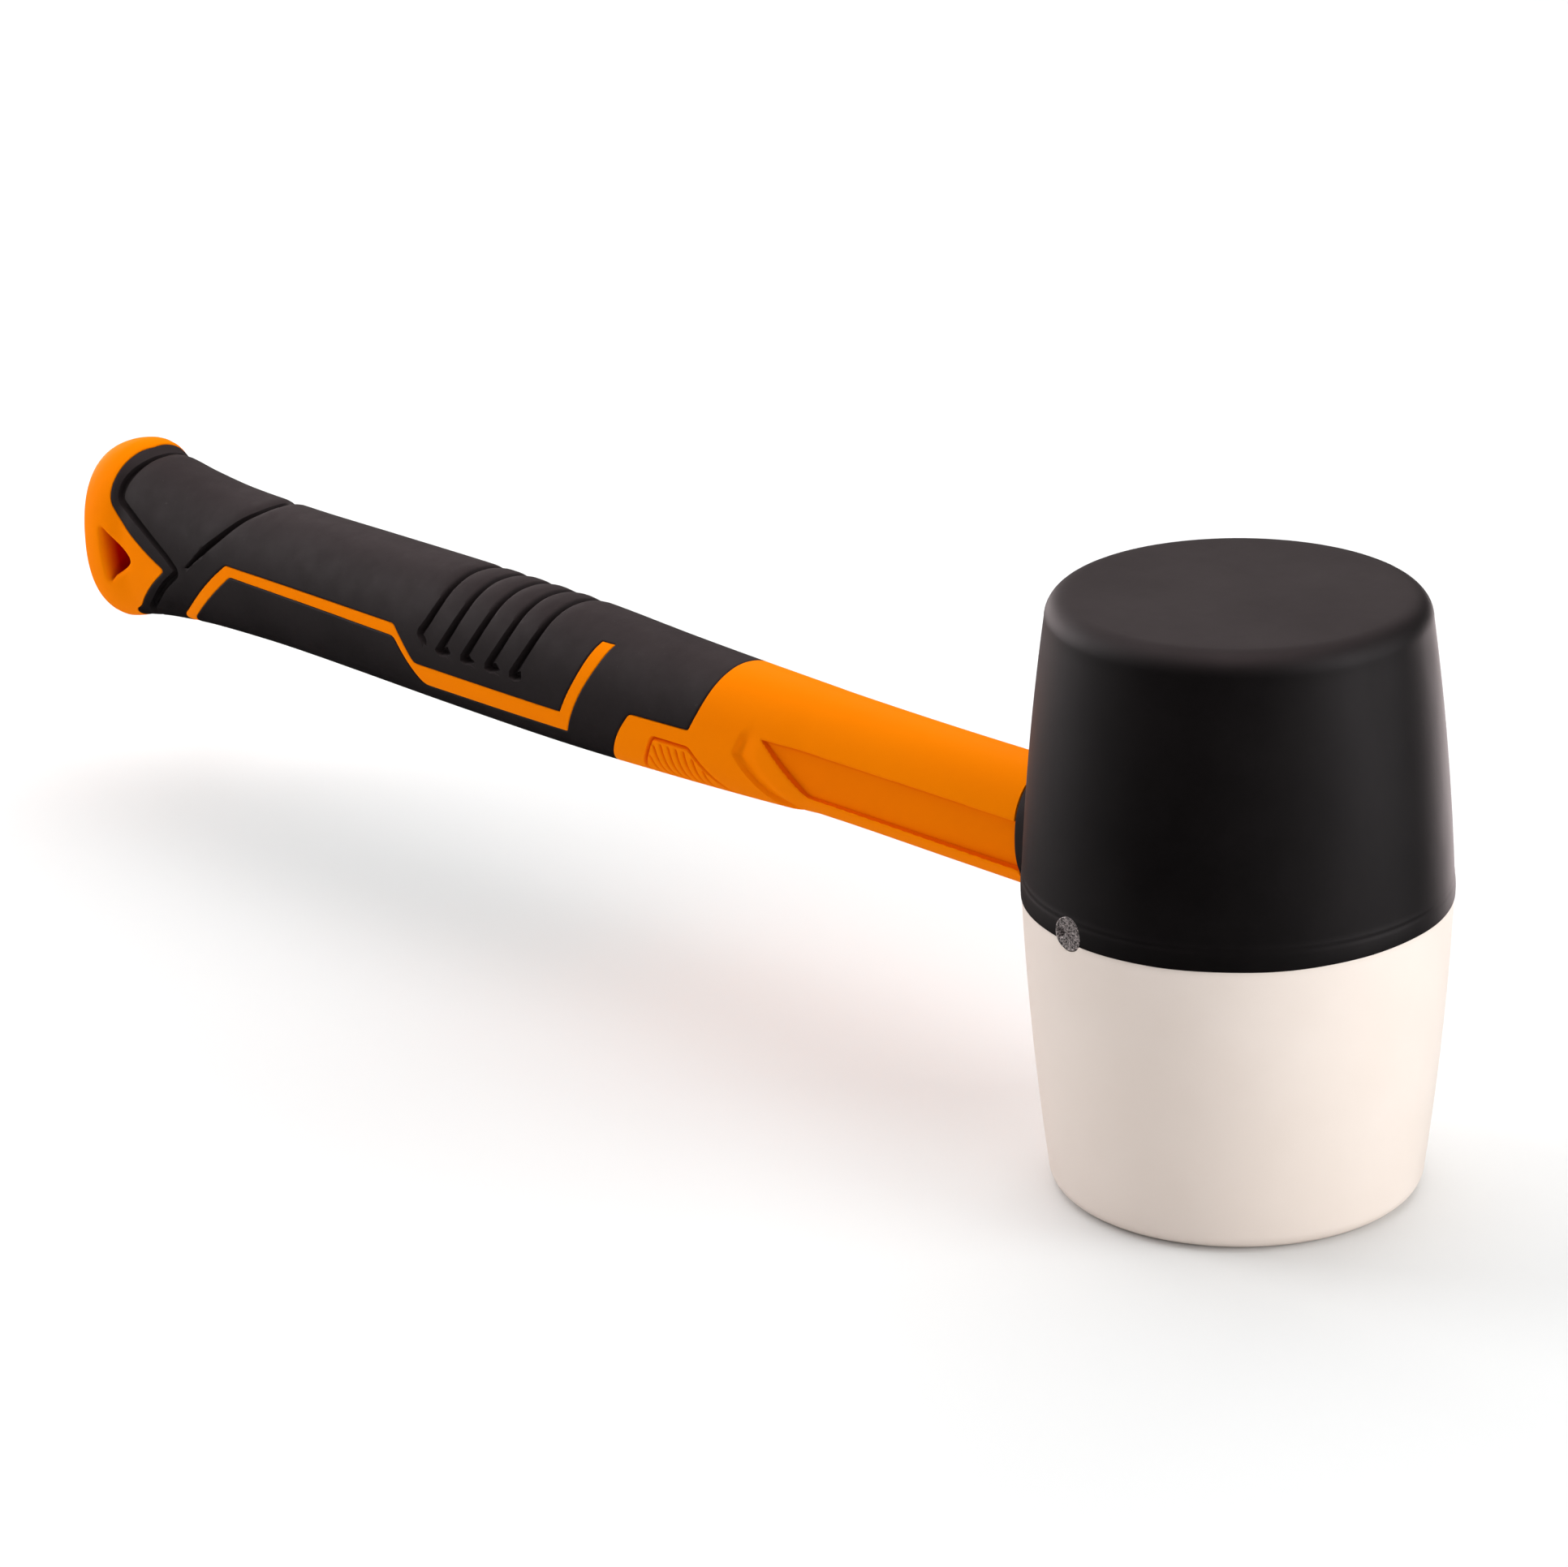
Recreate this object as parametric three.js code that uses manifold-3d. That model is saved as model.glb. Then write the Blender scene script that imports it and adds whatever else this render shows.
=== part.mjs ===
// A rubber mallet: a barrel head of two rubbers, black above and white below, pinned
// on a handle with a fibreglass core, an orange polypropylene jacket and a soft grip.
//
// Millimetres. +Z runs along the head from its white face, at z = 0, to its black face.
// The handle leaves the head along -X. A place along the handle is given as its reach,
// the distance from the head's axis, so x = -reach. The handle's two sides mirror.
import * as THREE from "three";
import { mergeVertices } from "three/addons/utils/BufferGeometryUtils.js";
import Module from "manifold-3d";

const wasm = await Module();
wasm.setup();

// ---------- driving dimensions ----------
const GAP = 0.3; // left between two pieces that touch
const FAR = 60; // past every surface, for tools that cut right through

const HEAD_HEIGHT = 103;
const SEAM_Z = 51.3;
const BLACK = { seamRadius: 35.65, faceRadius: 30.95, curve: 0.6, rimRound: 4.1 };
const WHITE = { seamRadius: 35.55, faceRadius: 30.95, curve: 0.53, rimRound: 3.3 };
const EDGE_ROUND = 0.4; // of the black half's lower edge

const AXIS_Z = 51.6; // height of the handle's axis
const TENON_REACH = -14; // the handle ends this far past the head's axis
const TENON_HALF_HEIGHT = 9.2; // of the handle inside the head
const TENON_HALF_WIDTH = 7.1;
const COLLAR_REACH = { from: 22, to: 42 }; // from inside the head to just outside it

const PIN_RADIUS = 2.9;
const PIN_REACH = 5.1;
const PIN_Z = 52.5;
const PIN_CHAMFER = 0.3;
const PIN_SINK = 0.1; // the pin's ends lie this far under the barrel

const CORE_RADIUS = 6;
const CORE_END_REACH = 262;

const HANDLE_END_REACH = 302.5;
const BUTT_START_REACH = 287.2; // the butt rounds off from here
const BUTT_SIDE_POWER = 2.95; // how square that rounding is, seen from the side
const BUTT_TOP_POWER = 2.4; // and seen from above
const BUTT_DROP = 2.6; // how far the end's middle lies under the handle's axis
const OVAL_POWER = 2.3; // 2 is an ellipse, and more is squarer
const SHAFT_WIDTH_SHARE = 0.86; // the oval's width over its height
const BUTT_WIDTH_SHARE = 0.67;

const GRIP_THICKNESS = 2.2;
const GROOVE_WIDTH = 1.3;
const GROOVE_DEPTH = 1.4;
const PANEL_FLOOR_Y = 8; // from the handle's middle plane
const BADGE_GROOVE_WIDTH = 0.7;
const BADGE_GROOVE_DEPTH = 0.6;

const FINGER_COUNT = 5; // grooves across the grip's top
const FINGER_PITCH = 6.77;
const FINGER_REACH = 161.6; // of the first one, at the crest

const BADGE_RIB_REACH = 119.3; // of the first groove in the badge
const BADGE_RIB_PITCH = 1.92;
const BADGE_RIB_TOPS = [-7.3, -5.4, -4.4, -4.4, -4.4, -4.4, -4.9, -7.6]; // their upper ends

const HEAD_SEGMENTS = 64;
const HANDLE_SEGMENTS = 28;
const STATION_STEP = 12; // between the handle's sections

// How far the handle's top and underside lie from its axis at a few reaches.
const TOP_PROFILE = [
  [20, 11.6],
  [60, 11.1],
  [85, 11.15],
  [112, 11.55],
  [135, 12.15],
  [160, 13.15],
  [190, 13.45],
  [220, 13.25],
  [245, 13.05],
  [262, 13.55],
  [274, 14.85],
  [281, 15.9],
  [284.5, 15.8],
  [288, 18.1],
  [293, 18.6],
];
const UNDER_PROFILE = [
  [20, 10.7],
  [60, 10.75],
  [94, 10.8],
  [99, 11.4],
  [112, 12.2],
  [135, 13.2],
  [160, 13.9],
  [190, 14],
  [240, 13.8],
  [262, 14.65],
  [278, 16.2],
  [286, 17.5],
  [292, 18.5],
];

// ---------- outlines seen from the side, as [reach, height over the handle's axis] ----------
// The grip's region, from the butt's edge to the grip's front edge.
const GRIP_OUTLINE = [
  [286.3, FAR],
  [286.7, 16],
  [287.7, 10.7],
  [287.3, 7.9],
  [283.6, 3.7],
  [276.7, -0.7],
  [271.6, -3],
  [276.8, -7.1],
  [287.1, -15.4],
  [289.6, -FAR],
  [148.2, -FAR],
  [144.9, -11.1],
  [140.2, -4.6],
  [136.5, 0.1],
  [121.4, 0.5],
  [118.4, 5.9],
  [117, 10.4],
  [117.3, FAR],
];

// The orange line let into the grip: a rib of the jacket that stands level with the grip.
const LINE_OUTLINE = [
  [272.8, -FAR],
  [270.8, -12.8],
  [263, -7],
  [251.2, 2.8],
  [200.8, 2.7],
  [195.5, -4],
  [155, -3.9],
  [149.6, 5.2],
  [147.1, 10.6],
  [143.9, 10.6],
  [145.6, 6.8],
  [151.7, -3.2],
  [154.4, -7.9],
  [194.2, -8.3],
  [200.9, 0.2],
  [249.9, 0.7],
  [263.4, -9.9],
  [267.9, -12.9],
  [270.4, -FAR],
];

// The sunk panel on each side of the shaft.
const PANEL_OUTLINE = [
  [103.5, 3.1],
  [93.4, -5.8],
  [COLLAR_REACH.to - 5, -5.9],
  [COLLAR_REACH.to - 5, 3.4],
];

// The line round the badge that wraps the handle's underside.
const BADGE_LINE = [
  [137, -FAR],
  [135.6, -9.9],
  [130.8, -3.1],
  [121.7, -3],
  [115.4, -9.5],
  [113.5, -FAR],
];

// The line that sets off the grip's flared end, and the one along the butt's edge.
const FLARE_GROOVE = [
  [248.2, FAR],
  [248.6, 12.6],
  [252.8, 8.5],
  [263.6, -0.4],
];
const BUTT_GROOVE = [
  [283.6, FAR],
  [283.8, 15.2],
  [285.3, 11],
  [285.1, 8.5],
  [276.8, 4],
  [270, 0],
  [267.2, -2.4],
  [273.3, -7],
  [281.7, -14.2],
  [283.6, -FAR],
];

// One groove over the grip's top, from its reach at the crest, and the outermost one's end.
const FINGER_GROOVE = [
  [0.1, FAR],
  [0, 12.1],
  [0.5, 8.8],
  [2.4, 4.8],
  [5.6, 0.2],
];
const LAST_FINGER_END = [4.4, 2.5];

const HOLE_OUTLINE = [
  [290.4, 3],
  [281.7, -3.2],
  [289.2, -9.8],
];
const HOLE_CORNER = 2;

// ---------- making and cutting solids ----------
// A closed geometry as a manifold-3d solid.
function solidOf(geometry) {
  geometry.deleteAttribute("normal");
  geometry.deleteAttribute("uv");
  const merged = mergeVertices(geometry, 1e-4);
  return new wasm.Manifold(
    new wasm.Mesh({
      numProp: 3,
      vertProperties: merged.attributes.position.array,
      triVerts: new Uint32Array(merged.index.array),
    }),
  );
}

function meshOf(solid, name, look) {
  const made = solid.getMesh();
  const geometry = new THREE.BufferGeometry();
  geometry.setAttribute("position", new THREE.BufferAttribute(made.vertProperties, 3));
  geometry.setIndex(new THREE.BufferAttribute(made.triVerts, 1));
  geometry.computeVertexNormals();
  const mesh = new THREE.Mesh(geometry, new THREE.MeshStandardMaterial(look));
  mesh.name = name;
  return mesh;
}

const joined = (solids) => solids.reduce((sum, solid) => sum.add(solid));

// A solid of revolution about +Z, from [radius, z] points that start and end on the axis.
function turned(points, segments) {
  const profile = points.map(([radius, z]) => new THREE.Vector2(radius, z));
  const lathe = new THREE.LatheGeometry(profile, segments);
  lathe.rotateX(Math.PI / 2); // the lathe's own axis is +Y
  return solidOf(lathe);
}

// A round bar along the handle's axis.
function barAlongHandle(radius, fromReach, toReach) {
  const bar = new THREE.CylinderGeometry(radius, radius, toReach - fromReach, 28);
  bar.rotateZ(Math.PI / 2);
  bar.translate(-(fromReach + toReach) / 2, 0, AXIS_Z);
  return solidOf(bar);
}

// A [reach, height] outline moved outwards by a distance, with sharp corners kept.
function offset(outline, distance) {
  const turning = Math.sign(THREE.ShapeUtils.area(outline.map(([x, y]) => ({ x, y }))));
  return outline.map((point, i) => {
    const corner = new THREE.Vector2(...point);
    const before = new THREE.Vector2(...outline.at(i - 1));
    const after = new THREE.Vector2(...outline[(i + 1) % outline.length]);
    const coming = corner.clone().sub(before).normalize();
    const going = after.clone().sub(corner).normalize();
    const normal = new THREE.Vector2(coming.y + going.y, -coming.x - going.x).normalize();
    const stretch = normal.dot(new THREE.Vector2(coming.y, -coming.x));
    return corner.addScaledVector(normal, (turning * distance) / stretch).toArray();
  });
}

// A prism through the handle, from the side view's outline, between two y.
function prism(outline, fromY = -FAR, toY = FAR) {
  const corners = outline.map(([reach, height]) => new THREE.Vector2(-reach, height));
  return prismOfShape(new THREE.Shape(corners), fromY, toY);
}

function prismOfShape(shape, fromY, toY) {
  const depth = toY - fromY;
  const body = new THREE.ExtrudeGeometry(shape, { depth, bevelEnabled: false, curveSegments: 4 });
  body.rotateX(Math.PI / 2); // the outline stands up, and the depth runs along -Y
  body.translate(0, toY, AXIS_Z);
  return solidOf(body);
}

// A side-view polygon with its corners rounded.
function roundedShape(outline, round) {
  const corners = outline.map(([reach, height]) => new THREE.Vector2(-reach, height));
  const shape = new THREE.Shape();
  corners.forEach((corner, i) => {
    const before = corners.at(i - 1);
    const after = corners[(i + 1) % corners.length];
    const start = before.clone().sub(corner).setLength(round).add(corner);
    const end = after.clone().sub(corner).setLength(round).add(corner);
    if (i === 0) shape.moveTo(start.x, start.y);
    else shape.lineTo(start.x, start.y);
    shape.quadraticCurveTo(corner.x, corner.y, end.x, end.y);
  });
  shape.closePath();
  return shape;
}

// The outline of a band of one width along a line of points.
function band(line, width) {
  const points = line.map((point) => new THREE.Vector2(...point));
  const side = (sign) =>
    points.map((point, i) => {
      const before = points[Math.max(i - 1, 0)];
      const after = points[Math.min(i + 1, points.length - 1)];
      const along = after.clone().sub(before).normalize();
      const across = new THREE.Vector2(-along.y, along.x);
      return point.clone().addScaledVector(across, (sign * width) / 2).toArray();
    });
  return [...side(1), ...side(-1).reverse()];
}

// ---------- the handle's outer surface ----------
// A smooth curve through [x, y] points: cubic pieces that share their slopes.
function smoothThrough(points) {
  const last = points.length - 1;
  const slopes = points.map((_, i) => {
    const [x0, y0] = points[Math.max(i - 1, 0)];
    const [x1, y1] = points[Math.min(i + 1, last)];
    return (y1 - y0) / (x1 - x0);
  });
  return (x) => {
    const i = Math.max(points.findLastIndex((point, k) => point[0] <= x && k < last), 0);
    const [x0, y0] = points[i];
    const [x1, y1] = points[i + 1];
    const run = x1 - x0;
    const t = THREE.MathUtils.clamp((x - x0) / run, 0, 1);
    const rise = (y1 - y0) * t * t * (3 - 2 * t);
    return y0 + rise + run * t * (1 - t) * (slopes[i] * (1 - t) - slopes[i + 1] * t);
  };
}

const riseAt = smoothThrough(TOP_PROFILE);
const dropAt = smoothThrough(UNDER_PROFILE);

// The section's width over its height at a reach.
function widthShare(reach) {
  const t = THREE.MathUtils.smoothstep(reach, 245, BUTT_START_REACH);
  return THREE.MathUtils.lerp(SHAFT_WIDTH_SHARE, BUTT_WIDTH_SHARE, t);
}

// The share of the butt's rounding that lies before a reach.
function endTravel(reach) {
  const run = HANDLE_END_REACH - BUTT_START_REACH;
  return THREE.MathUtils.clamp((reach - BUTT_START_REACH) / run, 0, 1);
}

// How much of the section is left at a reach, as the butt rounds off.
function endShare(reach, power) {
  return (1 - endTravel(reach) ** power) ** (1 / power);
}

// Points of an oval section: its half width, and how far it reaches up and down.
function ovalRing(reach, halfWidth, up, down, middleZ = AXIS_Z) {
  const bend = (v) => Math.sign(v) * Math.abs(v) ** (2 / OVAL_POWER);
  return Array.from({ length: HANDLE_SEGMENTS }, (_, k) => {
    const angle = (2 * Math.PI * k) / HANDLE_SEGMENTS;
    const y = halfWidth * bend(Math.cos(angle));
    const height = bend(Math.sin(angle));
    return new THREE.Vector3(-reach, y, middleZ + (height > 0 ? up : down) * height);
  });
}

// The closed body through rings that follow each other along the handle.
function loft(rings) {
  const n = rings[0].length;
  const last = (rings.length - 1) * n;
  const triangles = [];
  for (let start = 0; start < last; start += n)
    for (let k = 0; k < n; k++) {
      const a = start + k;
      const b = start + ((k + 1) % n);
      triangles.push(a, b + n, b, a, a + n, b + n);
    }
  for (let k = 1; k + 1 < n; k++) triangles.push(0, k, k + 1, last, last + k + 1, last + k);
  const geometry = new THREE.BufferGeometry().setFromPoints(rings.flat());
  geometry.setIndex(triangles);
  return solidOf(geometry);
}

// The handle's outer body between two reaches, shrunk all round by an inset.
function handleBody(fromReach, toReach, inset = 0) {
  const straightEnd = Math.min(toReach, BUTT_START_REACH);
  const steps = Math.ceil((straightEnd - fromReach) / STATION_STEP);
  const reaches = [];
  for (let i = 0; i <= steps; i++)
    reaches.push(THREE.MathUtils.lerp(fromReach, straightEnd, i / steps));
  const endSteps = 7;
  for (let i = 1; i <= endSteps && toReach > BUTT_START_REACH; i++) {
    const turn = (0.98 * Math.PI * i) / (2 * endSteps);
    reaches.push(THREE.MathUtils.lerp(BUTT_START_REACH, toReach, Math.sin(turn)));
  }
  const rings = reaches.map((reach) => {
    const up = riseAt(reach);
    const down = dropAt(reach);
    const halfWidth = ((up + down) / 2) * widthShare(reach) * endShare(reach, BUTT_TOP_POWER);
    const left = endShare(reach, BUTT_SIDE_POWER);
    const middleZ = AXIS_Z - BUTT_DROP * endTravel(reach);
    return ovalRing(reach, halfWidth - inset, up * left - inset, down * left - inset, middleZ);
  });
  return loft(rings);
}

function tenonBody(fromReach, toReach, grow = 0) {
  const halfTall = TENON_HALF_HEIGHT + grow;
  const ring = (reach) => ovalRing(reach, TENON_HALF_WIDTH + grow, halfTall, halfTall);
  return loft([ring(fromReach), ring(toReach)]);
}

// ---------- the head ----------
// Radius of one half of the barrel, at a share of the way from the seam to its face.
function barrelRadius(half, share) {
  const fall = half.curve * share * share + (1 - half.curve) * share;
  return half.seamRadius - (half.seamRadius - half.faceRadius) * fall;
}

// Profile points of one half, from a height up or down to its face.
function barrelPoints(half, fromZ, faceZ) {
  const away = Math.sign(faceZ - fromZ);
  const rimZ = faceZ - away * half.rimRound;
  const radiusAt = (z) => barrelRadius(half, (z - SEAM_Z) / (faceZ - SEAM_Z));
  const barrelSteps = 8;
  const points = [];
  for (let i = 0; i <= barrelSteps; i++) {
    const z = THREE.MathUtils.lerp(fromZ, rimZ, i / barrelSteps);
    points.push([radiusAt(z), z]);
  }
  const roundSteps = 5;
  const centre = radiusAt(rimZ) - half.rimRound;
  for (let i = 1; i <= roundSteps; i++) {
    const turn = (Math.PI * i) / (2 * roundSteps);
    const z = rimZ + away * half.rimRound * Math.sin(turn);
    points.push([centre + half.rimRound * Math.cos(turn), z]);
  }
  return points;
}

const pinHole = turned(
  [
    [0, -FAR],
    [PIN_RADIUS + GAP, -FAR],
    [PIN_RADIUS + GAP, FAR],
    [0, FAR],
  ],
  28,
)
  .rotate([90, 0, 0])
  .translate([-PIN_REACH, 0, PIN_Z]);

// What both halves lose to the handle's end, its collar and the pin.
const socket = joined([
  tenonBody(TENON_REACH - GAP, FAR, GAP),
  handleBody(COLLAR_REACH.from - GAP, FAR, -GAP),
  pinHole,
]);

function blackHalf() {
  const lowZ = SEAM_Z + GAP / 2;
  const points = [[0, lowZ], [BLACK.seamRadius - EDGE_ROUND, lowZ]];
  points.push(...barrelPoints(BLACK, lowZ + EDGE_ROUND, HEAD_HEIGHT), [0, HEAD_HEIGHT]);
  return turned(points, HEAD_SEGMENTS).subtract(socket);
}

function whiteHalf() {
  const highZ = SEAM_Z - GAP / 2;
  const points = [[0, 0], ...barrelPoints(WHITE, highZ, 0).reverse(), [0, highZ]];
  return turned(points, HEAD_SEGMENTS).subtract(socket);
}

// The steel pin across the head's seam, through the jacket and the core.
function crossPin() {
  const half = Math.sqrt(BLACK.seamRadius ** 2 - PIN_REACH ** 2) - PIN_SINK;
  const points = [
    [0, -half],
    [PIN_RADIUS - PIN_CHAMFER, -half],
    [PIN_RADIUS, -half + PIN_CHAMFER],
    [PIN_RADIUS, half - PIN_CHAMFER],
    [PIN_RADIUS - PIN_CHAMFER, half],
    [0, half],
  ];
  return turned(points, 28).rotate([90, 0, 0]).translate([-PIN_REACH, 0, PIN_Z]);
}

// ---------- the handle ----------
function neckCollar() {
  const outer = handleBody(COLLAR_REACH.from, COLLAR_REACH.to);
  return outer.subtract(tenonBody(0, FAR, GAP));
}

function handleCore() {
  return barAlongHandle(CORE_RADIUS, TENON_REACH, CORE_END_REACH).subtract(pinHole);
}

function fingerGroove(index) {
  const crest = FINGER_REACH + index * FINGER_PITCH;
  const points = FINGER_GROOVE.slice();
  if (index === FINGER_COUNT - 1) points[points.length - 1] = LAST_FINGER_END;
  return points.map(([along, height]) => [crest + along, height]);
}

// The soft sleeve, with the orange line left open and the grooves cut in its skin.
function gripSleeve() {
  const region = prism(offset(GRIP_OUTLINE, -GAP / 2));
  const line = prism(offset(LINE_OUTLINE, GAP / 2));
  const sleeve = handleBody(100, 292).subtract(handleBody(90, 296, GRIP_THICKNESS));
  const lines = [FLARE_GROOVE, BUTT_GROOVE];
  for (let i = 0; i < FINGER_COUNT; i++) lines.push(fingerGroove(i));
  const grooves = joined(lines.map((points) => prism(band(points, GROOVE_WIDTH))));
  return sleeve
    .intersect(region)
    .subtract(line)
    .subtract(grooves.subtract(handleBody(90, 296, GROOVE_DEPTH)));
}

// The grooves of the badge: its outline, and the ribbing inside it.
function badgeGrooves() {
  const ribs = BADGE_RIB_TOPS.map((top, i) => {
    const reach = BADGE_RIB_REACH + i * BADGE_RIB_PITCH;
    return prism(band([[reach, top], [reach, -FAR]], BADGE_GROOVE_WIDTH));
  });
  return joined([...ribs, prism(band(BADGE_LINE, BADGE_GROOVE_WIDTH))])
    .subtract(handleBody(90, 160, BADGE_GROOVE_DEPTH));
}

// The orange jacket: tenon, shaft, seat under the grip, butt and hanging hole.
function handleJacket() {
  const outer = handleBody(COLLAR_REACH.to + GAP, HANDLE_END_REACH);
  const seat = prism(offset(GRIP_OUTLINE, GAP / 2))
    .subtract(prism(offset(LINE_OUTLINE, -GAP / 2)))
    .subtract(handleBody(90, 296, GRIP_THICKNESS + GAP));
  const panels = prism(PANEL_OUTLINE).subtract(
    prism([[0, -FAR], [FAR * 2, -FAR], [FAR * 2, FAR], [0, FAR]], -PANEL_FLOOR_Y, PANEL_FLOOR_Y),
  );
  return outer
    .subtract(seat)
    .subtract(panels)
    .subtract(badgeGrooves())
    .subtract(prismOfShape(roundedShape(HOLE_OUTLINE, HOLE_CORNER), -FAR, FAR))
    .add(tenonBody(TENON_REACH, COLLAR_REACH.to + 1))
    .subtract(barAlongHandle(CORE_RADIUS + GAP, TENON_REACH - 5, CORE_END_REACH + GAP))
    .subtract(pinHole);
}

// ---------- the scene ----------
const BLACK_RUBBER = { color: 0x2b2725, roughness: 0.75, metalness: 0 };
const WHITE_RUBBER = { color: 0xe6ddd2, roughness: 0.7, metalness: 0 };
const SOFT_GRIP = { color: 0x282426, roughness: 0.8, metalness: 0 };
const ORANGE_JACKET = { color: 0xe87a0c, roughness: 0.45, metalness: 0 };
const FIBREGLASS = { color: 0xd9c98f, roughness: 0.5, metalness: 0 };
const STEEL = { color: 0x9b9a98, roughness: 0.45, metalness: 1 };

const mallet = new THREE.Group();
mallet.name = "rubber_mallet";
mallet.add(
  meshOf(blackHalf(), "head_black_half", BLACK_RUBBER),
  meshOf(whiteHalf(), "head_white_half", WHITE_RUBBER),
  meshOf(neckCollar(), "neck_collar", SOFT_GRIP),
  meshOf(crossPin(), "cross_pin", STEEL),
  meshOf(handleCore(), "handle_core", FIBREGLASS),
  meshOf(handleJacket(), "handle_jacket", ORANGE_JACKET),
  meshOf(gripSleeve(), "grip_sleeve", SOFT_GRIP),
);

export default mallet;
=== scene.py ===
"""Looks of a rubber mallet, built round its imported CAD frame.

Shapes are worked out in millimetres in the frame's axes: +Z runs up the head from its white
face, and the handle leaves along -X. A place along the handle is its reach, the distance from
the head's axis. The handle's skin is drawn as lines seen from the side, [reach, height over
the handle's axis], laid flat, triangulated, and folded back round the handle, once for each
side. Grooves, panels and rounded edges are depths below that skin.
"""

import math
from collections import namedtuple

import bmesh
import bpy
import numpy as np
from mathutils import Matrix, Vector
from mathutils.geometry import delaunay_2d_cdt


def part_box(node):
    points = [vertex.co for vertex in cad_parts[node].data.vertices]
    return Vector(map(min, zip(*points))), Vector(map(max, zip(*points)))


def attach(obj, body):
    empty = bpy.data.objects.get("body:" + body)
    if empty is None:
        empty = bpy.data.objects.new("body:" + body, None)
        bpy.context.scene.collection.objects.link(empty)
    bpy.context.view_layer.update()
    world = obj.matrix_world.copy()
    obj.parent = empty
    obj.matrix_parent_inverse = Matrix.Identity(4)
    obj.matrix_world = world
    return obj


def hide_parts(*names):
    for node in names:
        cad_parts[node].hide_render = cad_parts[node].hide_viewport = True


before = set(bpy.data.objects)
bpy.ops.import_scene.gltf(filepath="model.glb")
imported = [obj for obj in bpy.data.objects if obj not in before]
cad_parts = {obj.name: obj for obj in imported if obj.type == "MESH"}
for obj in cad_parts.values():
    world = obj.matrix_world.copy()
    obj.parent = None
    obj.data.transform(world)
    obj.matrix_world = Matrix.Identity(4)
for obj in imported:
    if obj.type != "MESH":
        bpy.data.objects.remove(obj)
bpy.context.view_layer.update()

MM = 0.001
FAR = 90.0  # a height past every crest


def box_mm(node):
    low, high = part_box(node)
    return np.array(low) / MM, np.array(high) / MM


BLACK_LOW, BLACK_HIGH = box_mm("head_black_half")
_, WHITE_HIGH = box_mm("head_white_half")
CORE_LOW, CORE_HIGH = box_mm("handle_core")
COLLAR_LOW, COLLAR_HIGH = box_mm("neck_collar")
JACKET_LOW, JACKET_HIGH = box_mm("handle_jacket")
PIN_LOW, PIN_HIGH = box_mm("cross_pin")

# ---------- sizes taken from the frame ----------
AXIS_Z = (CORE_LOW[2] + CORE_HIGH[2]) / 2
SEAM_Z = (BLACK_LOW[2] + WHITE_HIGH[2]) / 2
HEAD_TOP = BLACK_HIGH[2]
COLLAR_START = -COLLAR_HIGH[0]
COLLAR_END = -COLLAR_LOW[0]
TENON_END = -JACKET_HIGH[0]
HANDLE_END = -JACKET_LOW[0]
CORE_END = -CORE_LOW[0]
CORE_RADIUS = (CORE_HIGH[2] - CORE_LOW[2]) / 2
PIN_REACH = -(PIN_LOW[0] + PIN_HIGH[0]) / 2
PIN_Z = (PIN_LOW[2] + PIN_HIGH[2]) / 2
PIN_RADIUS = (PIN_HIGH[2] - PIN_LOW[2]) / 2
PIN_HALF = PIN_HIGH[1]

# ---------- the handle's outer surface ----------
OVAL_POWER = 2.3  # 2 is an ellipse, and more is squarer
OVAL_STRETCH = 1.035  # the oval's girth over that of a circle as large
BUTT_START = 287.2  # the butt rounds off from here
BUTT_SIDE_POWER = 2.95  # how squarely it does, seen from the side
BUTT_TOP_POWER = 2.4  # and seen from above
BUTT_DROP = 2.6  # how far its middle sinks on the way
SHAFT_SHARE = 0.86  # the oval's width over its height
BUTT_SHARE = 0.67
SHARE_TURNS = 245.0  # from here it changes from one to the other
# Each point of a profile is (reach, distance from the handle's axis).
TOP_PROFILE = [
    (20, 11.6), (60, 11.1), (85, 11.15), (112, 11.55), (135, 12.15), (160, 13.15), (190, 13.45),
    (220, 13.25), (245, 13.05), (262, 13.55), (274, 14.85), (281, 15.9), (284.5, 15.8),
    (288, 18.1), (293, 18.6),
]
UNDER_PROFILE = [
    (20, 10.7), (60, 10.75), (94, 10.8), (99, 11.4), (112, 12.2), (135, 13.2), (160, 13.9),
    (190, 14.0), (240, 13.8), (262, 14.65), (278, 16.2), (286, 17.5), (292, 18.5),
]


def eased(x):
    x = np.clip(x, 0.0, 1.0)
    return x * x * (3 - 2 * x)


def ramp(x, start, end):
    """0 before the start, rising smoothly to 1 at the end."""
    return eased((x - start) / (end - start))


def smooth_through(points):
    """A smooth curve through (x, y) points: cubic pieces that share their slopes."""
    x, y = np.array(points, float).T
    last = len(x) - 1
    before = np.maximum(np.arange(last + 1) - 1, 0)
    after = np.minimum(np.arange(last + 1) + 1, last)
    slope = (y[after] - y[before]) / (x[after] - x[before])

    def at(q):
        i = np.clip(np.searchsorted(x, q, side="right") - 1, 0, last - 1)
        run = x[i + 1] - x[i]
        t = np.clip((q - x[i]) / run, 0, 1)
        ease = run * t * (1 - t) * (slope[i] * (1 - t) - slope[i + 1] * t)
        return y[i] + (y[i + 1] - y[i]) * t * t * (3 - 2 * t) + ease

    return at


rise_at = smooth_through(TOP_PROFILE)
drop_at = smooth_through(UNDER_PROFILE)


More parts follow.
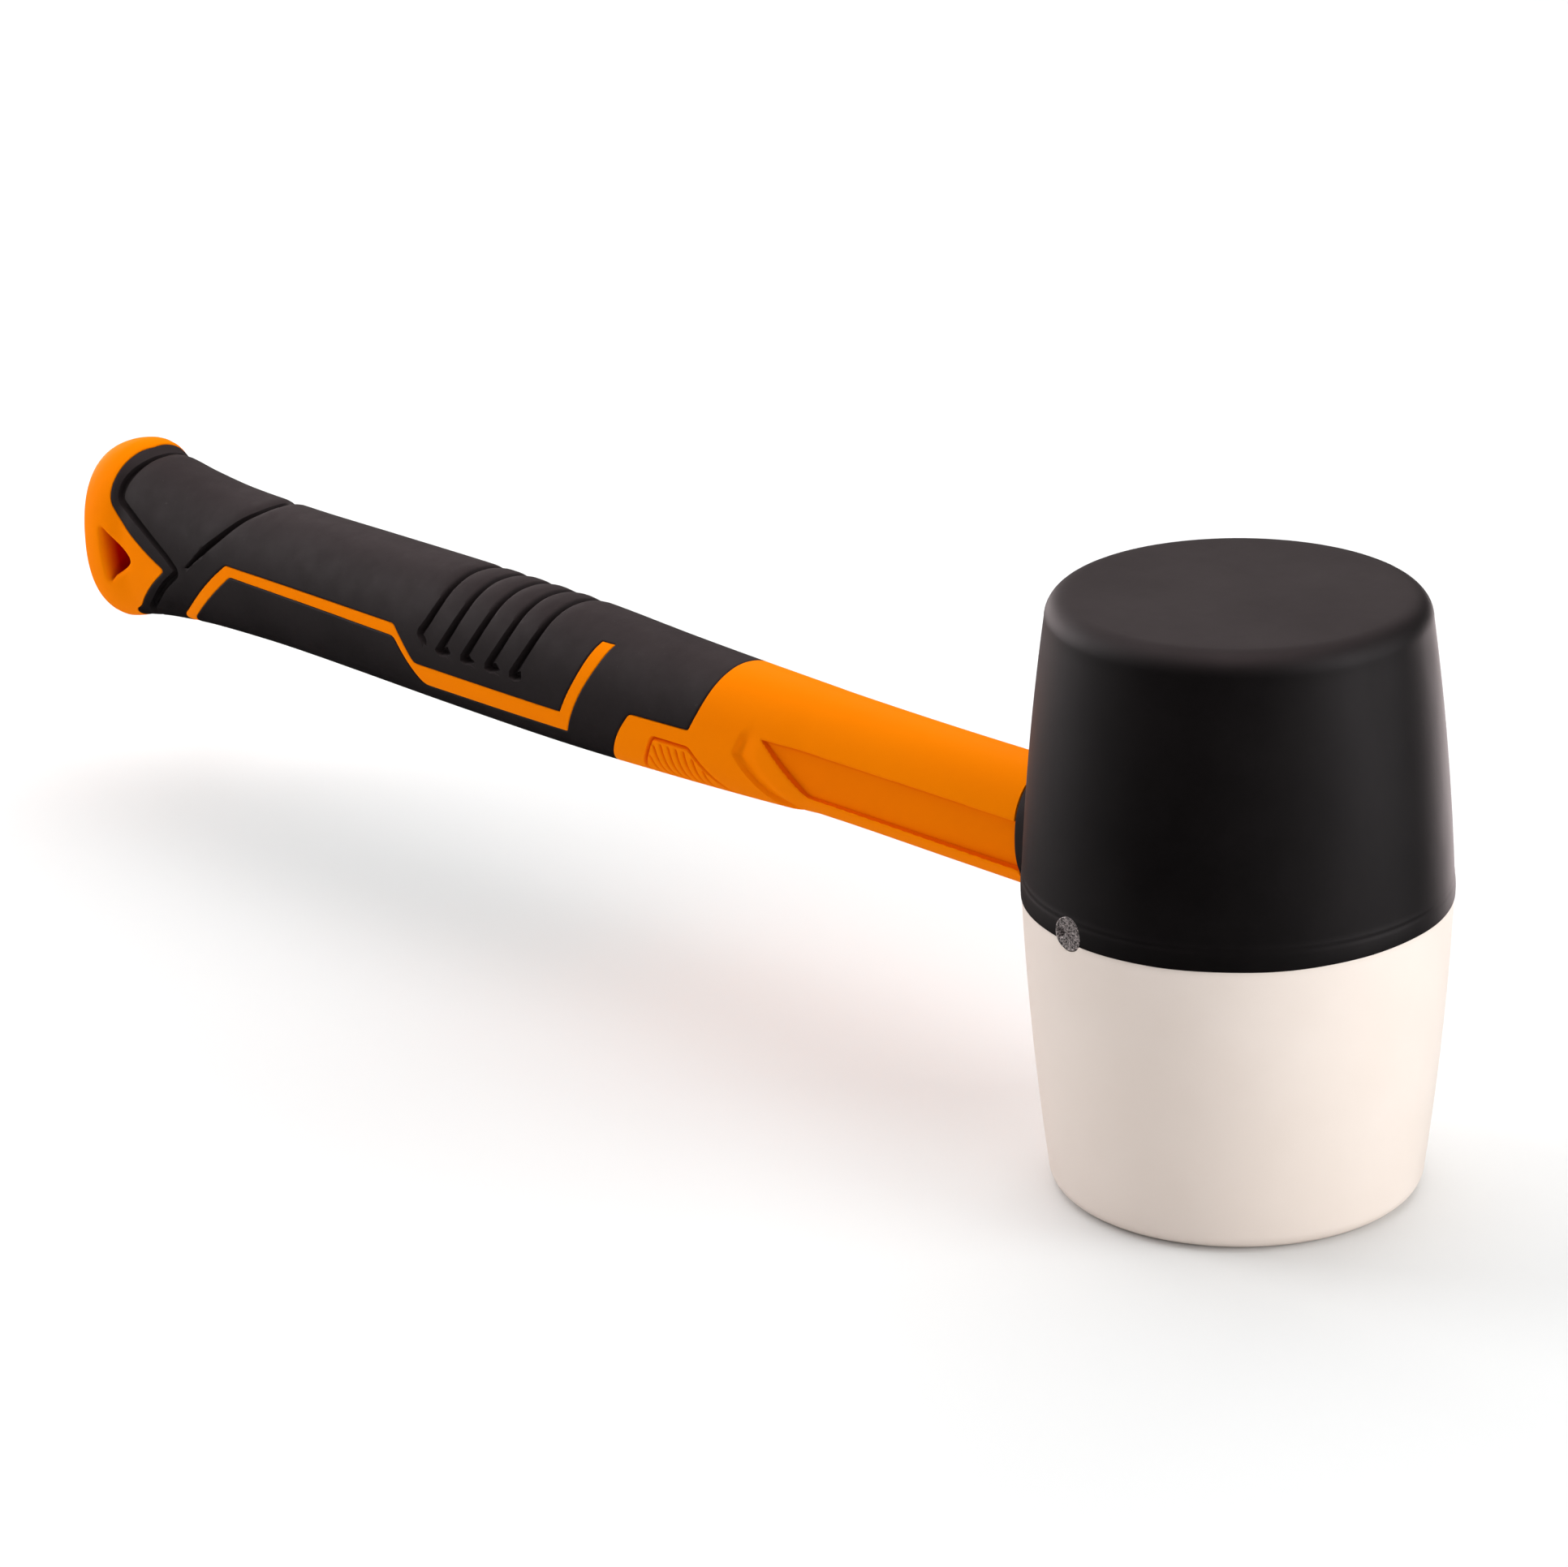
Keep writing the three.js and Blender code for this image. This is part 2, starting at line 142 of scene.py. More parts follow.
def section(reach):
    """The handle's section at a reach: up, down and sideways from its middle, and the middle."""
    travel = np.clip((reach - BUTT_START) / (HANDLE_END - BUTT_START), 0, 1)
    up, down = rise_at(reach), drop_at(reach)
    tall = (1 - travel**BUTT_SIDE_POWER) ** (1 / BUTT_SIDE_POWER)
    wide = (1 - travel**BUTT_TOP_POWER) ** (1 / BUTT_TOP_POWER)
    share = SHAFT_SHARE + (BUTT_SHARE - SHAFT_SHARE) * ramp(reach, SHARE_TURNS, BUTT_START)
    return up * tall, down * tall, (up + down) / 2 * share * wide, AXIS_Z - BUTT_DROP * travel


def oval_size(cos, sin):
    """How far out the oval lies in a direction, if both its half axes are 1."""
    return (np.abs(cos) ** OVAL_POWER + np.abs(sin) ** OVAL_POWER) ** (-1 / OVAL_POWER)


def skin(reach, angle):
    """Points of the bare skin. The angle runs from -pi/2, the underside's crest, through the
    +Y side to pi/2, the top's crest."""
    reach, angle = np.broadcast_arrays(reach, angle)
    up, down, wide, middle = section(reach)
    cos, sin = np.cos(angle), np.sin(angle)
    size = oval_size(cos, sin)
    z = middle + np.where(sin > 0, up, down) * size * sin
    return np.stack([-reach, wide * size * cos, z], axis=-1)


def skin_normal(reach, angle):
    step = 0.01
    along = skin(reach + step, angle) - skin(reach - step, angle)
    around = skin(reach, angle + step) - skin(reach, angle - step)
    normal = np.cross(along, around)
    return normal / np.linalg.norm(normal, axis=-1, keepdims=True)


def spread(reach):
    """Millimetres of skin per radian, the scale at which the skin is laid flat."""
    up, down, wide, _ = section(reach)
    return OVAL_STRETCH * np.sqrt(((up + down) ** 2 / 4 + wide**2) / 2)


def laid_flat(reach, height):
    """A side-view point's place on the flat skin: reach, and distance from the side's middle."""
    up, down, _, middle = section(float(reach))
    lift = height + AXIS_Z - middle
    lift = max(-1.0, min(1.0, lift / (up if lift > 0 else down)))
    sideways = (1 - abs(lift) ** OVAL_POWER) ** (1 / OVAL_POWER)
    return np.array([reach, math.atan2(lift, sideways) * float(spread(float(reach)))])


# ---------- lines on the handle, seen from the side ----------
# Each point is (reach, height, corner round).
GRIP_FRONT = [
    (117.3, FAR, 0), (117.0, 10.4, 3), (118.4, 5.9, 3), (121.4, 0.5, 0.6), (136.5, 0.1, 0.9),
    (140.2, -4.6, 4), (144.9, -11.1, 4), (148.2, -FAR, 0),
]
GRIP_REAR = [
    (286.3, FAR, 0), (286.7, 16.0, 2), (287.7, 10.7, 3), (287.3, 7.9, 2), (283.6, 3.7, 2.5),
    (276.7, -0.7, 3), (271.6, -3.0, 1.0), (276.8, -7.1, 3), (287.1, -15.4, 3), (289.6, -FAR, 0),
]
STRIPE = [
    (272.8, -FAR, 0), (270.8, -12.8, 2), (263.0, -7.0, 4), (251.2, 2.8, 0.4), (200.8, 2.7, 0.5),
    (195.5, -4.0, 0.8), (155.0, -3.9, 0.3), (149.6, 5.2, 6), (147.1, 10.6, 0.2),
    (143.9, 10.6, 0.2), (145.6, 6.8, 4), (151.7, -3.2, 6), (154.4, -7.9, 0.3),
    (194.2, -8.3, 1.4), (200.9, 0.2, 1.0), (249.9, 0.7, 0.4), (263.4, -9.9, 4),
    (267.9, -12.9, 2), (270.4, -FAR, 0),
]
HOLE = [(290.2, 2.8, 1.2), (281.9, -3.2, 1.3), (289.2, -9.5, 1.3)]
PANEL_END = COLLAR_END - 3  # the panel runs on under the collar
PANEL = [(103.5, 3.1, 0.4), (93.4, -5.8, 0.8), (PANEL_END, -5.9, 0), (PANEL_END, 3.4, 0)]
CHEVRON = [
    (107.0, 5.0, 0), (108.4, 3.4, 1), (110.8, -1.2, 1.0), (106.6, -5.8, 3), (102.2, -9.6, 3),
    (98.5, -FAR, 0),
]
BADGE = [
    (138.0, -FAR, 0), (135.6, -9.9, 1.5), (130.8, -3.1, 0.6), (121.7, -3.0, 0.6),
    (115.4, -9.5, 2), (112.6, -FAR, 0),
]
FLARE_GROOVE = [(248.2, FAR, 0), (248.6, 12.6, 3), (252.8, 8.5, 5), (263.6, -0.4, 0)]
BUTT_GROOVE = [
    (283.6, FAR, 0), (283.8, 15.2, 1.5), (285.3, 11.0, 3), (285.1, 8.5, 1.5), (276.8, 4.0, 4),
    (270.0, 0.0, 2), (267.2, -2.4, 0.8), (273.3, -7.0, 3), (281.7, -14.2, 3), (283.6, -FAR, 0),
]
FINGERS = 5
FIRST_FINGER = 161.6
FINGER_PITCH = 6.77
FIRST_RIB = 119.3
RIB_PITCH = 1.92
RIB_TOPS = (-7.3, -5.4, -4.4, -4.4, -4.4, -4.4, -4.9, -7.6)
RIB_FOOT = -10.5
CORNER_SHARE = 0.48  # a corner's curve takes up at most this share of either side
CORNER_STEP = 0.35


def finger_groove(crest, last):
    """A groove over the top that slants outwards as it comes down and ends in a hook."""
    if last:
        tail = [(crest + 2.3, 5.2, 3), (crest + 4.5, 2.5, 0.5), (crest + 3.4, 1.6, 0)]
    else:
        tail = [(crest + 2.5, 4.8, 3), (crest + 5.9, 0.2, 0.5), (crest + 3.9, 0.5, 0)]
    return [(crest + 0.1, FAR, 0), (crest, 12.1, 2), (crest + 0.5, 8.8, 3), *tail]


def corner_turned(before, corner, after, size):
    """Points that take a corner in a curve that starts and ends a size away from it."""
    sides = [before - corner, after - corner]
    lengths = [np.linalg.norm(side) for side in sides]
    size = min(size, *(CORNER_SHARE * length for length in lengths))
    start, end = (corner + side / length * size for side, length in zip(sides, lengths))
    steps = max(2, round(size / CORNER_STEP))
    t = np.linspace(0, 1, steps + 1)[:, None]
    return (1 - t) ** 2 * start + 2 * t * (1 - t) * corner + t**2 * end


def trace(points, closed=False, step=0.5):
    """A line on the flat skin through side-view points, with its corners turned."""
    keys = [laid_flat(reach, height) for reach, height, _ in points]
    path = []
    for i, (_, _, size) in enumerate(points):
        inner = closed or 0 < i < len(points) - 1
        if size and inner:
            after = keys[(i + 1) % len(keys)]
            path.extend(corner_turned(keys[i - 1], keys[i], after, size))
        else:
            path.append(keys[i])
    if closed:
        path.append(path[0])
    line = [path[0]]
    for a, b in zip(path, path[1:]):
        parts = max(1, math.ceil(np.linalg.norm(b - a) / step - 0.01))
        line.extend(a + (b - a) * k / parts for k in range(1, parts + 1))
    line = np.array(line)
    keep = np.r_[True, np.linalg.norm(np.diff(line, axis=0), axis=1) > 1e-4]
    return line[keep]


LINE_ROOM = 6.0  # further than this from a line, distances count as BEYOND
BEYOND = 99.0


def distance_to(line, points):
    """Each point's distance from a line of the flat skin."""
    result = np.full(len(points), BEYOND)
    low, high = line.min(axis=0) - LINE_ROOM, line.max(axis=0) + LINE_ROOM
    near = np.where(np.all((points > low) & (points < high), axis=1))[0]
    start, run = line[:-1], np.diff(line, axis=0)
    length2 = (run**2).sum(axis=1)
    for chunk in np.array_split(near, max(1, len(near) // 2000)):
        offset = points[chunk][:, None] - start[None]
        t = np.clip((offset * run).sum(axis=2) / length2, 0, 1)
        gap = offset - t[..., None] * run
        if len(chunk):
            result[chunk] = np.sqrt((gap**2).sum(axis=2).min(axis=1))
    return result


def inside(outline, points):
    """Which points lie in a closed outline."""
    x, y = points[:, 0], points[:, 1]
    result = np.zeros(len(points), bool)
    for (x0, y0), (x1, y1) in zip(outline, np.roll(outline, -1, axis=0)):
        if y0 != y1:
            crosses = (y0 > y) != (y1 > y)
            result ^= crosses & (x < (x1 - x0) * (y - y0) / (y1 - y0) + x0)
    return result


def run_off(line):
    """An open line whose ends lie on a crest, carried past it so that it closes outside."""
    ends = line[[0, -1]]
    ends[:, 1] = np.copysign(FAR, ends[:, 1])
    return np.vstack([ends[0], line, ends[1]])


LINES = {
    "grip_front": trace(GRIP_FRONT),
    "grip_rear": trace(GRIP_REAR),
    "stripe": trace(STRIPE),
    "hole": trace(HOLE, closed=True, step=0.4),
    "panel": trace(PANEL, closed=True),
    "chevron": trace(CHEVRON),
    "badge": trace(BADGE),
    "flare_groove": trace(FLARE_GROOVE),
    "butt_groove": trace(BUTT_GROOVE),
}
for number in range(FINGERS):
    crest = FIRST_FINGER + FINGER_PITCH * number
    LINES[f"finger_{number}"] = trace(finger_groove(crest, number == FINGERS - 1))
for number, top in enumerate(RIB_TOPS):
    reach = FIRST_RIB + RIB_PITCH * number
    LINES[f"rib_{number}"] = trace([(reach, top, 0), (reach, RIB_FOOT, 2), (reach + 0.3, -FAR, 0)])

GRIP_REGION = np.vstack([run_off(LINES["grip_front"]), run_off(LINES["grip_rear"])[::-1]])
STRIPE_REGION = run_off(LINES["stripe"])
CHEVRON_TOP = LINES["chevron"][0][1]
CHEVRON_BACK = 85.0  # well on the head's side of the chevron's step
CHEVRON_REGION = np.vstack([LINES["chevron"], [[CHEVRON_BACK, -FAR], [CHEVRON_BACK, CHEVRON_TOP]]])

# ---------- laying out the flat skin's points ----------
JACKET_START = COLLAR_END + 0.15
BODY_END = 292.0  # the butt's last stretch is made of plain rings
RING_PARTS = 40  # parts of a half ring, from crest to crest
GRIP_EDGES = ("grip_front", "grip_rear", "stripe")
BOUNDARIES = (*GRIP_EDGES, "hole")  # lines where one piece ends
ROWS = {  # by the first word of a line's name: rows of points beside it, as distances
    "grip": (0.12, 0.35, 0.8),
    "stripe": (0.1, 0.25, 0.5),
    "hole": (0.15, 0.4, 0.8, 1.3),
    "panel": (0.08, 0.18, 0.3, 0.7),
    "chevron": (0.2, 0.45, 0.8, 1.3, 2.1),
    "badge": (0.14, 0.28, 0.45, 0.7),
    "rib": (0.14, 0.28, 0.45, 0.7),
    "finger": (0.38, 0.54, 0.7, 0.86, 1.3),
    "flare": (0.32, 0.46, 0.6, 0.76, 1.2),
    "butt": (0.32, 0.46, 0.6, 0.76, 1.2),
}
ROW_CLEAR = 0.93  # a row has no points nearer to its line than this share of its distance
ROW_SHARE = 0.62  # they keep this share of the row's gap from others
BORDER_SHARE = 0.3  # and the border's even points this share of their step
SHOULDER_GAP = 0.12  # the room between the border's points beside a line's end
CELL = 0.6  # the width of the cells in which close points are looked for

# Whether lines get rows, the step along the crests, the grid's pitch and how near it comes to
# other points, and the room left beside the crests and the lines
Layout = namedtuple("Layout", "rows border pitch spacing margin clearance")
FINE_LAYOUT = Layout(rows=True, border=0.9, pitch=1.15, spacing=0.6 * 1.15, margin=0.22, clearance=0)
COARSE_LAYOUT = Layout(rows=False, border=3.0, pitch=4.0, spacing=1.5, margin=1.2, clearance=1.2)


def rows_of(name):
    return ROWS[name.split("_")[0]]


def within(reach, room=0.0):
    """Whether a reach is on the flat skin, with some room to its ends."""
    return (reach > JACKET_START + room) & (reach < BODY_END - room)


def beside(line, distance):
    """Points to both sides of a line at one distance, but for those a corner brings nearer."""
    run = np.gradient(line, axis=0)
    across = np.stack([-run[:, 1], run[:, 0]], axis=1)
    across /= np.linalg.norm(across, axis=1, keepdims=True)
    both = np.vstack([line + across * distance, line - across * distance])
    return both[distance_to(line, both) > ROW_CLEAR * distance]


def half_width(reach):
    """Half the flat skin's width, from the side's middle to a crest."""
    return math.pi / 2 * spread(reach)


def thinned(groups):
    """Points of several (points, spacing) groups, each kept if none kept before is close."""
    kept, cells = [], {}
    for points, spacing in groups:
        for p in points:
            i, j = int(p[0] // CELL), int(p[1] // CELL)
            near = (q for a in (-1, 0, 1) for b in (-1, 0, 1) for q in cells.get((i + a, j + b), ()))
            if all((q[0] - p[0]) ** 2 + (q[1] - p[1]) ** 2 > spacing**2 for q in near):
                cells.setdefault((i, j), []).append(p)
                kept.append(p)
    return kept


def border_reaches(crest, layout):
    """Reaches of the border's points along one crest: even steps, and where lines end on it."""
    ends = {}
    for name, line in LINES.items():
        for reach, y in (line[0], line[-1]):
            if within(reach) and abs(y - crest * half_width(reach)) < 1e-3:
                ends[reach] = rows_of(name) if layout.rows else ()
    shoulders = [r + side * row for r, rows in ends.items() for row in rows for side in (-1, 1)]
    even = np.linspace(JACKET_START, BODY_END, round((BODY_END - JACKET_START) / layout.border) + 1)
    kept = [even[0], even[-1], *ends]
    for reach in [*shoulders, *even[1:-1]]:
        gap = BORDER_SHARE * layout.border if reach in even else SHOULDER_GAP
        if within(reach, room=0.1) and all(abs(reach - r) > gap for r in kept):
            kept.append(reach)
    return sorted(kept)


def loose_points(names, layout):
    """(points, spacing) groups: rows beside the lines, and an even grid."""
    groups = []
    for level in range(max(len(rows) for rows in ROWS.values()) if layout.rows else 0):
        for name in names:
            rows = rows_of(name)
            if level < len(rows):
                gap = rows[level] - (rows[level - 1] if level else 0)
                groups.append((beside(LINES[name], rows[level]), ROW_SHARE * gap))
    pitch = layout.pitch
    grid = []
    for row, reach in enumerate(np.arange(JACKET_START + pitch / 2, BODY_END - pitch / 3, pitch)):
        shift = pitch / 2 * (row % 2)
        grid.extend((reach, y) for y in np.arange(-half_width(reach) + shift, half_width(reach), pitch))
    groups.append((np.array(grid), layout.spacing))
    return groups


def with_room(loose, names, layout):
    """The points that leave room beside the crests, the skin's ends and the lines."""
    reach, across = loose.T
    ok = within(reach, room=0.3) & (half_width(reach) - np.abs(across) > layout.margin)
    if layout.clearance:
        for name in names:
            ok &= distance_to(LINES[name], loose) > layout.clearance
    return loose[ok]


FlatSkin = namedtuple("FlatSkin", "points triangles covered lines")


def flat_skin(names, layout):
    """Triangles over one side's flat skin that keep to the named lines, which ones the grip
    covers, and for each line the numbers of its points."""
    points, edges, number_of = [], [], {}

    def add(p):
        key = (round(float(p[0]), 3), round(float(p[1]), 3))
        if key not in number_of:
            number_of[key] = len(points)
            points.append(tuple(map(float, p)))
        return number_of[key]

    def add_line(line):
        numbers = [add(p) for p in line]
        edges.extend((a, b) for a, b in zip(numbers, numbers[1:]) if a != b)
        return numbers

    angles = np.linspace(-math.pi / 2, math.pi / 2, RING_PARTS + 1)
    line_numbers = {}
    for end, reach in (("start", JACKET_START), ("end", BODY_END)):
        line_numbers[end] = add_line([(reach, a * spread(reach)) for a in angles])
    for crest in (-1, 1):
        add_line([(r, crest * half_width(r)) for r in border_reaches(crest, layout)])
    for name in names:
        line = LINES[name]
        shown = within(line[:, 0], room=0.05)
        if shown.all():
            line_numbers[name] = add_line(line)
        else:  # the panel runs on under the collar, so its two long edges end at the border
            for piece in np.split(line, np.where(np.diff(shown.astype(int)))[0] + 1):
                if within(piece[0, 0], room=0.05):
                    add_line(piece)
    groups = [(np.array(points), 0.0)]
    for loose, spacing in loose_points(names, layout):
        groups.append((with_room(loose, names, layout), spacing))
    every = thinned(groups)[len(points):]
    points.extend(tuple(map(float, p)) for p in every)
    flat, _, triangles, origins, _, _ = delaunay_2d_cdt(
        [Vector(p) for p in points], edges, [], 1, 1e-5
    )
    new_number = {old: new for new, olds in enumerate(origins) for old in olds}
    lines = {name: [new_number[n] for n in numbers] for name, numbers in line_numbers.items()}
    flat = np.array([tuple(p) for p in flat])
    triangles = np.array(triangles)
    centres = flat[triangles].mean(axis=1)
    whole = ~inside(LINES["hole"], centres)
    triangles, centres = triangles[whole], centres[whole]
    covered = inside(GRIP_REGION, centres) & ~inside(STRIPE_REGION, centres)
    return FlatSkin(flat, triangles, covered, lines)


FINE = flat_skin(LINES, FINE_LAYOUT)
COARSE = flat_skin(BOUNDARIES, COARSE_LAYOUT)

# ---------- depths below the skin ----------
GRIP_THICKNESS = 2.2
SEAT_DEPTH = 2.3  # of the jacket under the grip
GRIP_ROUND = 0.3
JACKET_ROUND = 0.22
HOLE_ROUND = 0.8
STRIPE_SINK = 0.08
GROOVE_DEPTH = 1.5
GROOVE_FLOOR = 0.36  # half the width of a groove's flat bottom
GROOVE_WALL = 0.46
FLARE_NARROWS = 0.42  # the flare's groove runs out narrower and shallower
FLARE_RUNS_OUT = (256.0, 264.0)
CROWN = 0.38  # how far the ribs between the finger grooves fall off towards them
CROWN_RUN = 2.5
CROWN_FADE = (1.6, 0.3)  # how fast and how late the crown comes in up the side
PANEL_FLOOR = (8.0, 0.0183, 0.15)  # half width at PANEL_FROM, and its slopes along and up
PANEL_FROM = 60.0
PANEL_DEPTH = 1.1
PANEL_WALL = 0.3
PANEL_ROUND = 0.15
CHEVRON_STEP = 0.95
CHEVRON_FALL = (0.55, 0.9)  # the step's run low down, and what it gains in the next range
CHEVRON_BROADENS = (-0.35, 0.15)  # ranges of the angle over the side's middle
CHEVRON_FADES = (0.1, 0.45)
CHEVRON_RISE = (0.8, 4.8)  # distances over which the step's floor comes up again
BADGE_GROOVE = 0.75
BADGE_FLOOR = 0.06
RIB_GROOVE = 0.58
RIB_FLOOR = 0.04
BADGE_WALL = 0.36
# Ranges of the angle from the underside's crest over which details come in
CHEVRON_UNDER = (0.0, 0.5)
BADGE_UNDER = (0.1, 0.5)
RIB_UNDER = (0.3, 0.6)
PAINTED_SHADE_STRENGTH = 0.52  # the painted shade of the badge's grooves and the panel's wall, as a share of the hanging hole's
PANEL_SHADE = 0.65  # how far the painted shade of the panel's wall reaches over its floor
PANEL_OPEN = 0.3  # the share of that painted shade on the rest of its floor
HOLE_SHADE = 0.14  # the share of the hanging hole's width over which its painted shade comes in


def rounded(gap, radius):
    """How far a rounded edge has fallen at a distance from the edge."""
    run = np.clip(radius - gap, 0, radius)
    return radius - np.sqrt(radius**2 - run**2)


def faded(gap, width):
    """1 on a line, falling to 0 at a distance from it."""
    return 1 - eased(gap / width)


def nearest(gaps, *starts):
    return np.min([gap for name, gap in gaps.items() if name.startswith(starts)], axis=0)


def grip_depths(gaps):
    reach, across = FINE.points.T
    edge = rounded(nearest(gaps, "grip", "stripe"), GRIP_ROUND)
    run_out = FLARE_NARROWS * ramp(reach, *FLARE_RUNS_OUT)
    groove = np.minimum(nearest(gaps, "finger", "butt"), gaps["flare_groove"] + run_out)
    cut = faded(groove - GROOVE_FLOOR, GROOVE_WALL)
    over_the_top = eased(across / half_width(reach) * CROWN_FADE[0] - CROWN_FADE[1])
    crown = CROWN * faded(nearest(gaps, "finger", "flare"), CROWN_RUN) * over_the_top
    return np.maximum(edge, crown + (GROOVE_DEPTH - crown) * cut)


def angle_of(flat):
    """Angles round the handle from the side's middle."""
    return flat[:, 1] / spread(flat[:, 0])


def off_the_underside(flat, start, end):
    """0 on the underside's crest, rising to 1 further up the side, in radians from the crest."""
    return ramp(angle_of(flat) + math.pi / 2, start, end)


def chevron_depths(flat, gaps):
    """A step down on the head's side of the chevron, broad at its top, which rises softly."""
    gap, lift = gaps["chevron"], angle_of(flat)
    run, more = CHEVRON_FALL
    fall = eased(gap / (run + more * ramp(lift, *CHEVRON_BROADENS)))
    rise = 1 - ramp(gap, *CHEVRON_RISE)
    ends = off_the_underside(flat, *CHEVRON_UNDER) * (1 - ramp(lift, *CHEVRON_FADES))
    return np.where(inside(CHEVRON_REGION, flat), CHEVRON_STEP * fall * rise * ends, 0)


def badge_depths(flat, gaps):
    outline = BADGE_GROOVE * faded(gaps["badge"] - BADGE_FLOOR, BADGE_WALL)
    ribs = RIB_GROOVE * faded(nearest(gaps, "rib") - RIB_FLOOR, BADGE_WALL)
    ribs *= off_the_underside(flat, *RIB_UNDER)
    return np.maximum(outline * off_the_underside(flat, *BADGE_UNDER), ribs)


def jacket_depths(flat, gaps):
    edge = rounded(nearest(gaps, "grip", "stripe"), JACKET_ROUND)
    sunk = np.where(inside(STRIPE_REGION, flat), STRIPE_SINK, 0)
    hole = rounded(gaps["hole"], HOLE_ROUND)
    panel = PANEL_ROUND * faded(gaps["panel"], PANEL_WALL)
    detail = chevron_depths(flat, gaps) + badge_depths(flat, gaps)
    return np.maximum(edge + sunk, hole) + panel + detail


def painted_jacket_shade(flat, gaps):
    """How much painted shade each point gets, for how much it is shut in by the badge's grooves or the
    panel's wall, up to 1.
    """
    badge = badge_depths(flat, gaps) / BADGE_GROOVE
    panel = PANEL_OPEN + (1 - PANEL_OPEN) * faded(gaps["panel"], PANEL_SHADE)
    return PAINTED_SHADE_STRENGTH * np.maximum(badge, np.where(inside(LINES["panel"], flat), panel, 0))


def lowered(flat, depths):
    """Points of the skin, moved in by one depth or by one each."""
    reach, angles = flat[:, 0], angle_of(flat)
    return skin(reach, angles) - skin_normal(reach, angles) * np.reshape(depths, (-1, 1))


def panel_pressed(flat, gaps, points):
    """Points of the panel, pressed in to its floor, which is half as crowned as the skin."""
    middle, along, up = PANEL_FLOOR
    even = middle + along * (flat[:, 0] - PANEL_FROM) + up * (points[:, 2] - AXIS_Z)
    floor = (even + points[:, 1] - PANEL_DEPTH) / 2
    press = np.where(inside(LINES["panel"], flat), eased(gaps["panel"] / PANEL_WALL), 0)
    points[:, 1] += np.minimum(floor - points[:, 1], 0) * press
    return points


# ---------- putting closed pieces together ----------
PAINTED_SHADE_ATTRIBUTE = "painted_shade"  # a mesh attribute of painted shade: 0 on the open skin, 1 deep in the hanging hole
AROUND = np.linspace(-math.pi / 2, 1.5 * math.pi, 2 * RING_PARTS + 1)[:-1]
SHARP_ANGLE = 50


class Shell:
    """Vertices and faces of one closed piece, and how much painted shade some vertices get, by how
    deeply recessed they are.
    """

    def __init__(self):
        self.points = []
        self.faces = []
        self.painted_shades = {}

    def add(self, points):
        first = len(self.points)
        self.points.extend(np.asarray(points, float).reshape(-1, 3))
        return np.arange(first, len(self.points))

    def bridge(self, a, b):
        """Faces between two rings."""
        self.faces.extend(zip(a, np.roll(a, -1), np.roll(b, -1), b))

    def cap(self, ring):
        centre = self.add(np.mean([self.points[i] for i in ring], axis=0))[0]
        self.faces.extend((a, b, centre) for a, b in zip(ring, np.roll(ring, -1)))

    def tube(self, rings):
        """Faces through a row of rings. Returns the numbers of each ring's points."""
        numbers = [self.add(ring) for ring in rings]
        for a, b in zip(numbers, numbers[1:]):
            self.bridge(a, b)
        return numbers


def solid(rings):
    """A shell through a row of rings, closed at both ends."""
    shell = Shell()
    numbers = shell.tube(rings)
    shell.cap(numbers[0])
    shell.cap(numbers[-1])
    return shell


def rim(faces):
    """The edges that only one of the faces has."""
    edges = {(a, b) for face in faces for a, b in zip(face, (*face[1:], face[0]))}
    return [(a, b) for a, b in edges if (b, a) not in edges]


def both_sides(shell, flat, points):
    """Adds one side's points and their mirror images, and returns the numbers of both. A point
    on a crest is its own mirror image."""
    on_crest = np.abs(np.abs(flat.points[:, 1]) - half_width(flat.points[:, 0])) < 1e-3
    points[on_crest, 1] = 0
    near = shell.add(points)
    far = shell.add(points * (1, -1, 1))
    return near, np.where(on_crest, near, far)


def two_faced(triangles, near, far):
    return [tuple(f) for f in near[triangles]] + [tuple(f) for f in far[triangles][:, ::-1]]


def ring_around(numbers, near, far):
    """The whole ring's point numbers from those of its half."""
    return np.array([*near[numbers], *far[numbers[-2:0:-1]]])


def joined_sheets(shell, outer, inner, faces):
    """Walls from the fine sheet to the coarse one along the grip's edges, where the faces end."""
    beneath = {}
    for name in GRIP_EDGES:
        for a, b in zip(FINE.lines[name], COARSE.lines[name]):
            for side in (0, 1):
                beneath[outer[side][a]] = inner[side][b]
    for a, b in rim(faces):
        if a in beneath and b in beneath:
            shell.faces.append((b, a, beneath[a], beneath[b]))


def ring(reach, across, height):
    return np.stack([np.full(len(across), -float(reach)), across, AXIS_Z + height], axis=-1)


def tenon_ring(reach, fit=0.0, angles=AROUND):
    cos, sin = np.cos(angles), np.sin(angles)
    size = oval_size(cos, sin)
    return ring(reach, (TENON_HALF_WIDTH + fit) * size * cos, (TENON_HALF_HEIGHT + fit) * size * sin)


def round_ring(reach, radius):
    return ring(reach, radius * np.cos(AROUND), radius * np.sin(AROUND))


def skin_ring(reach, depth, angles):
    return skin(reach, angles) - skin_normal(reach, angles) * depth


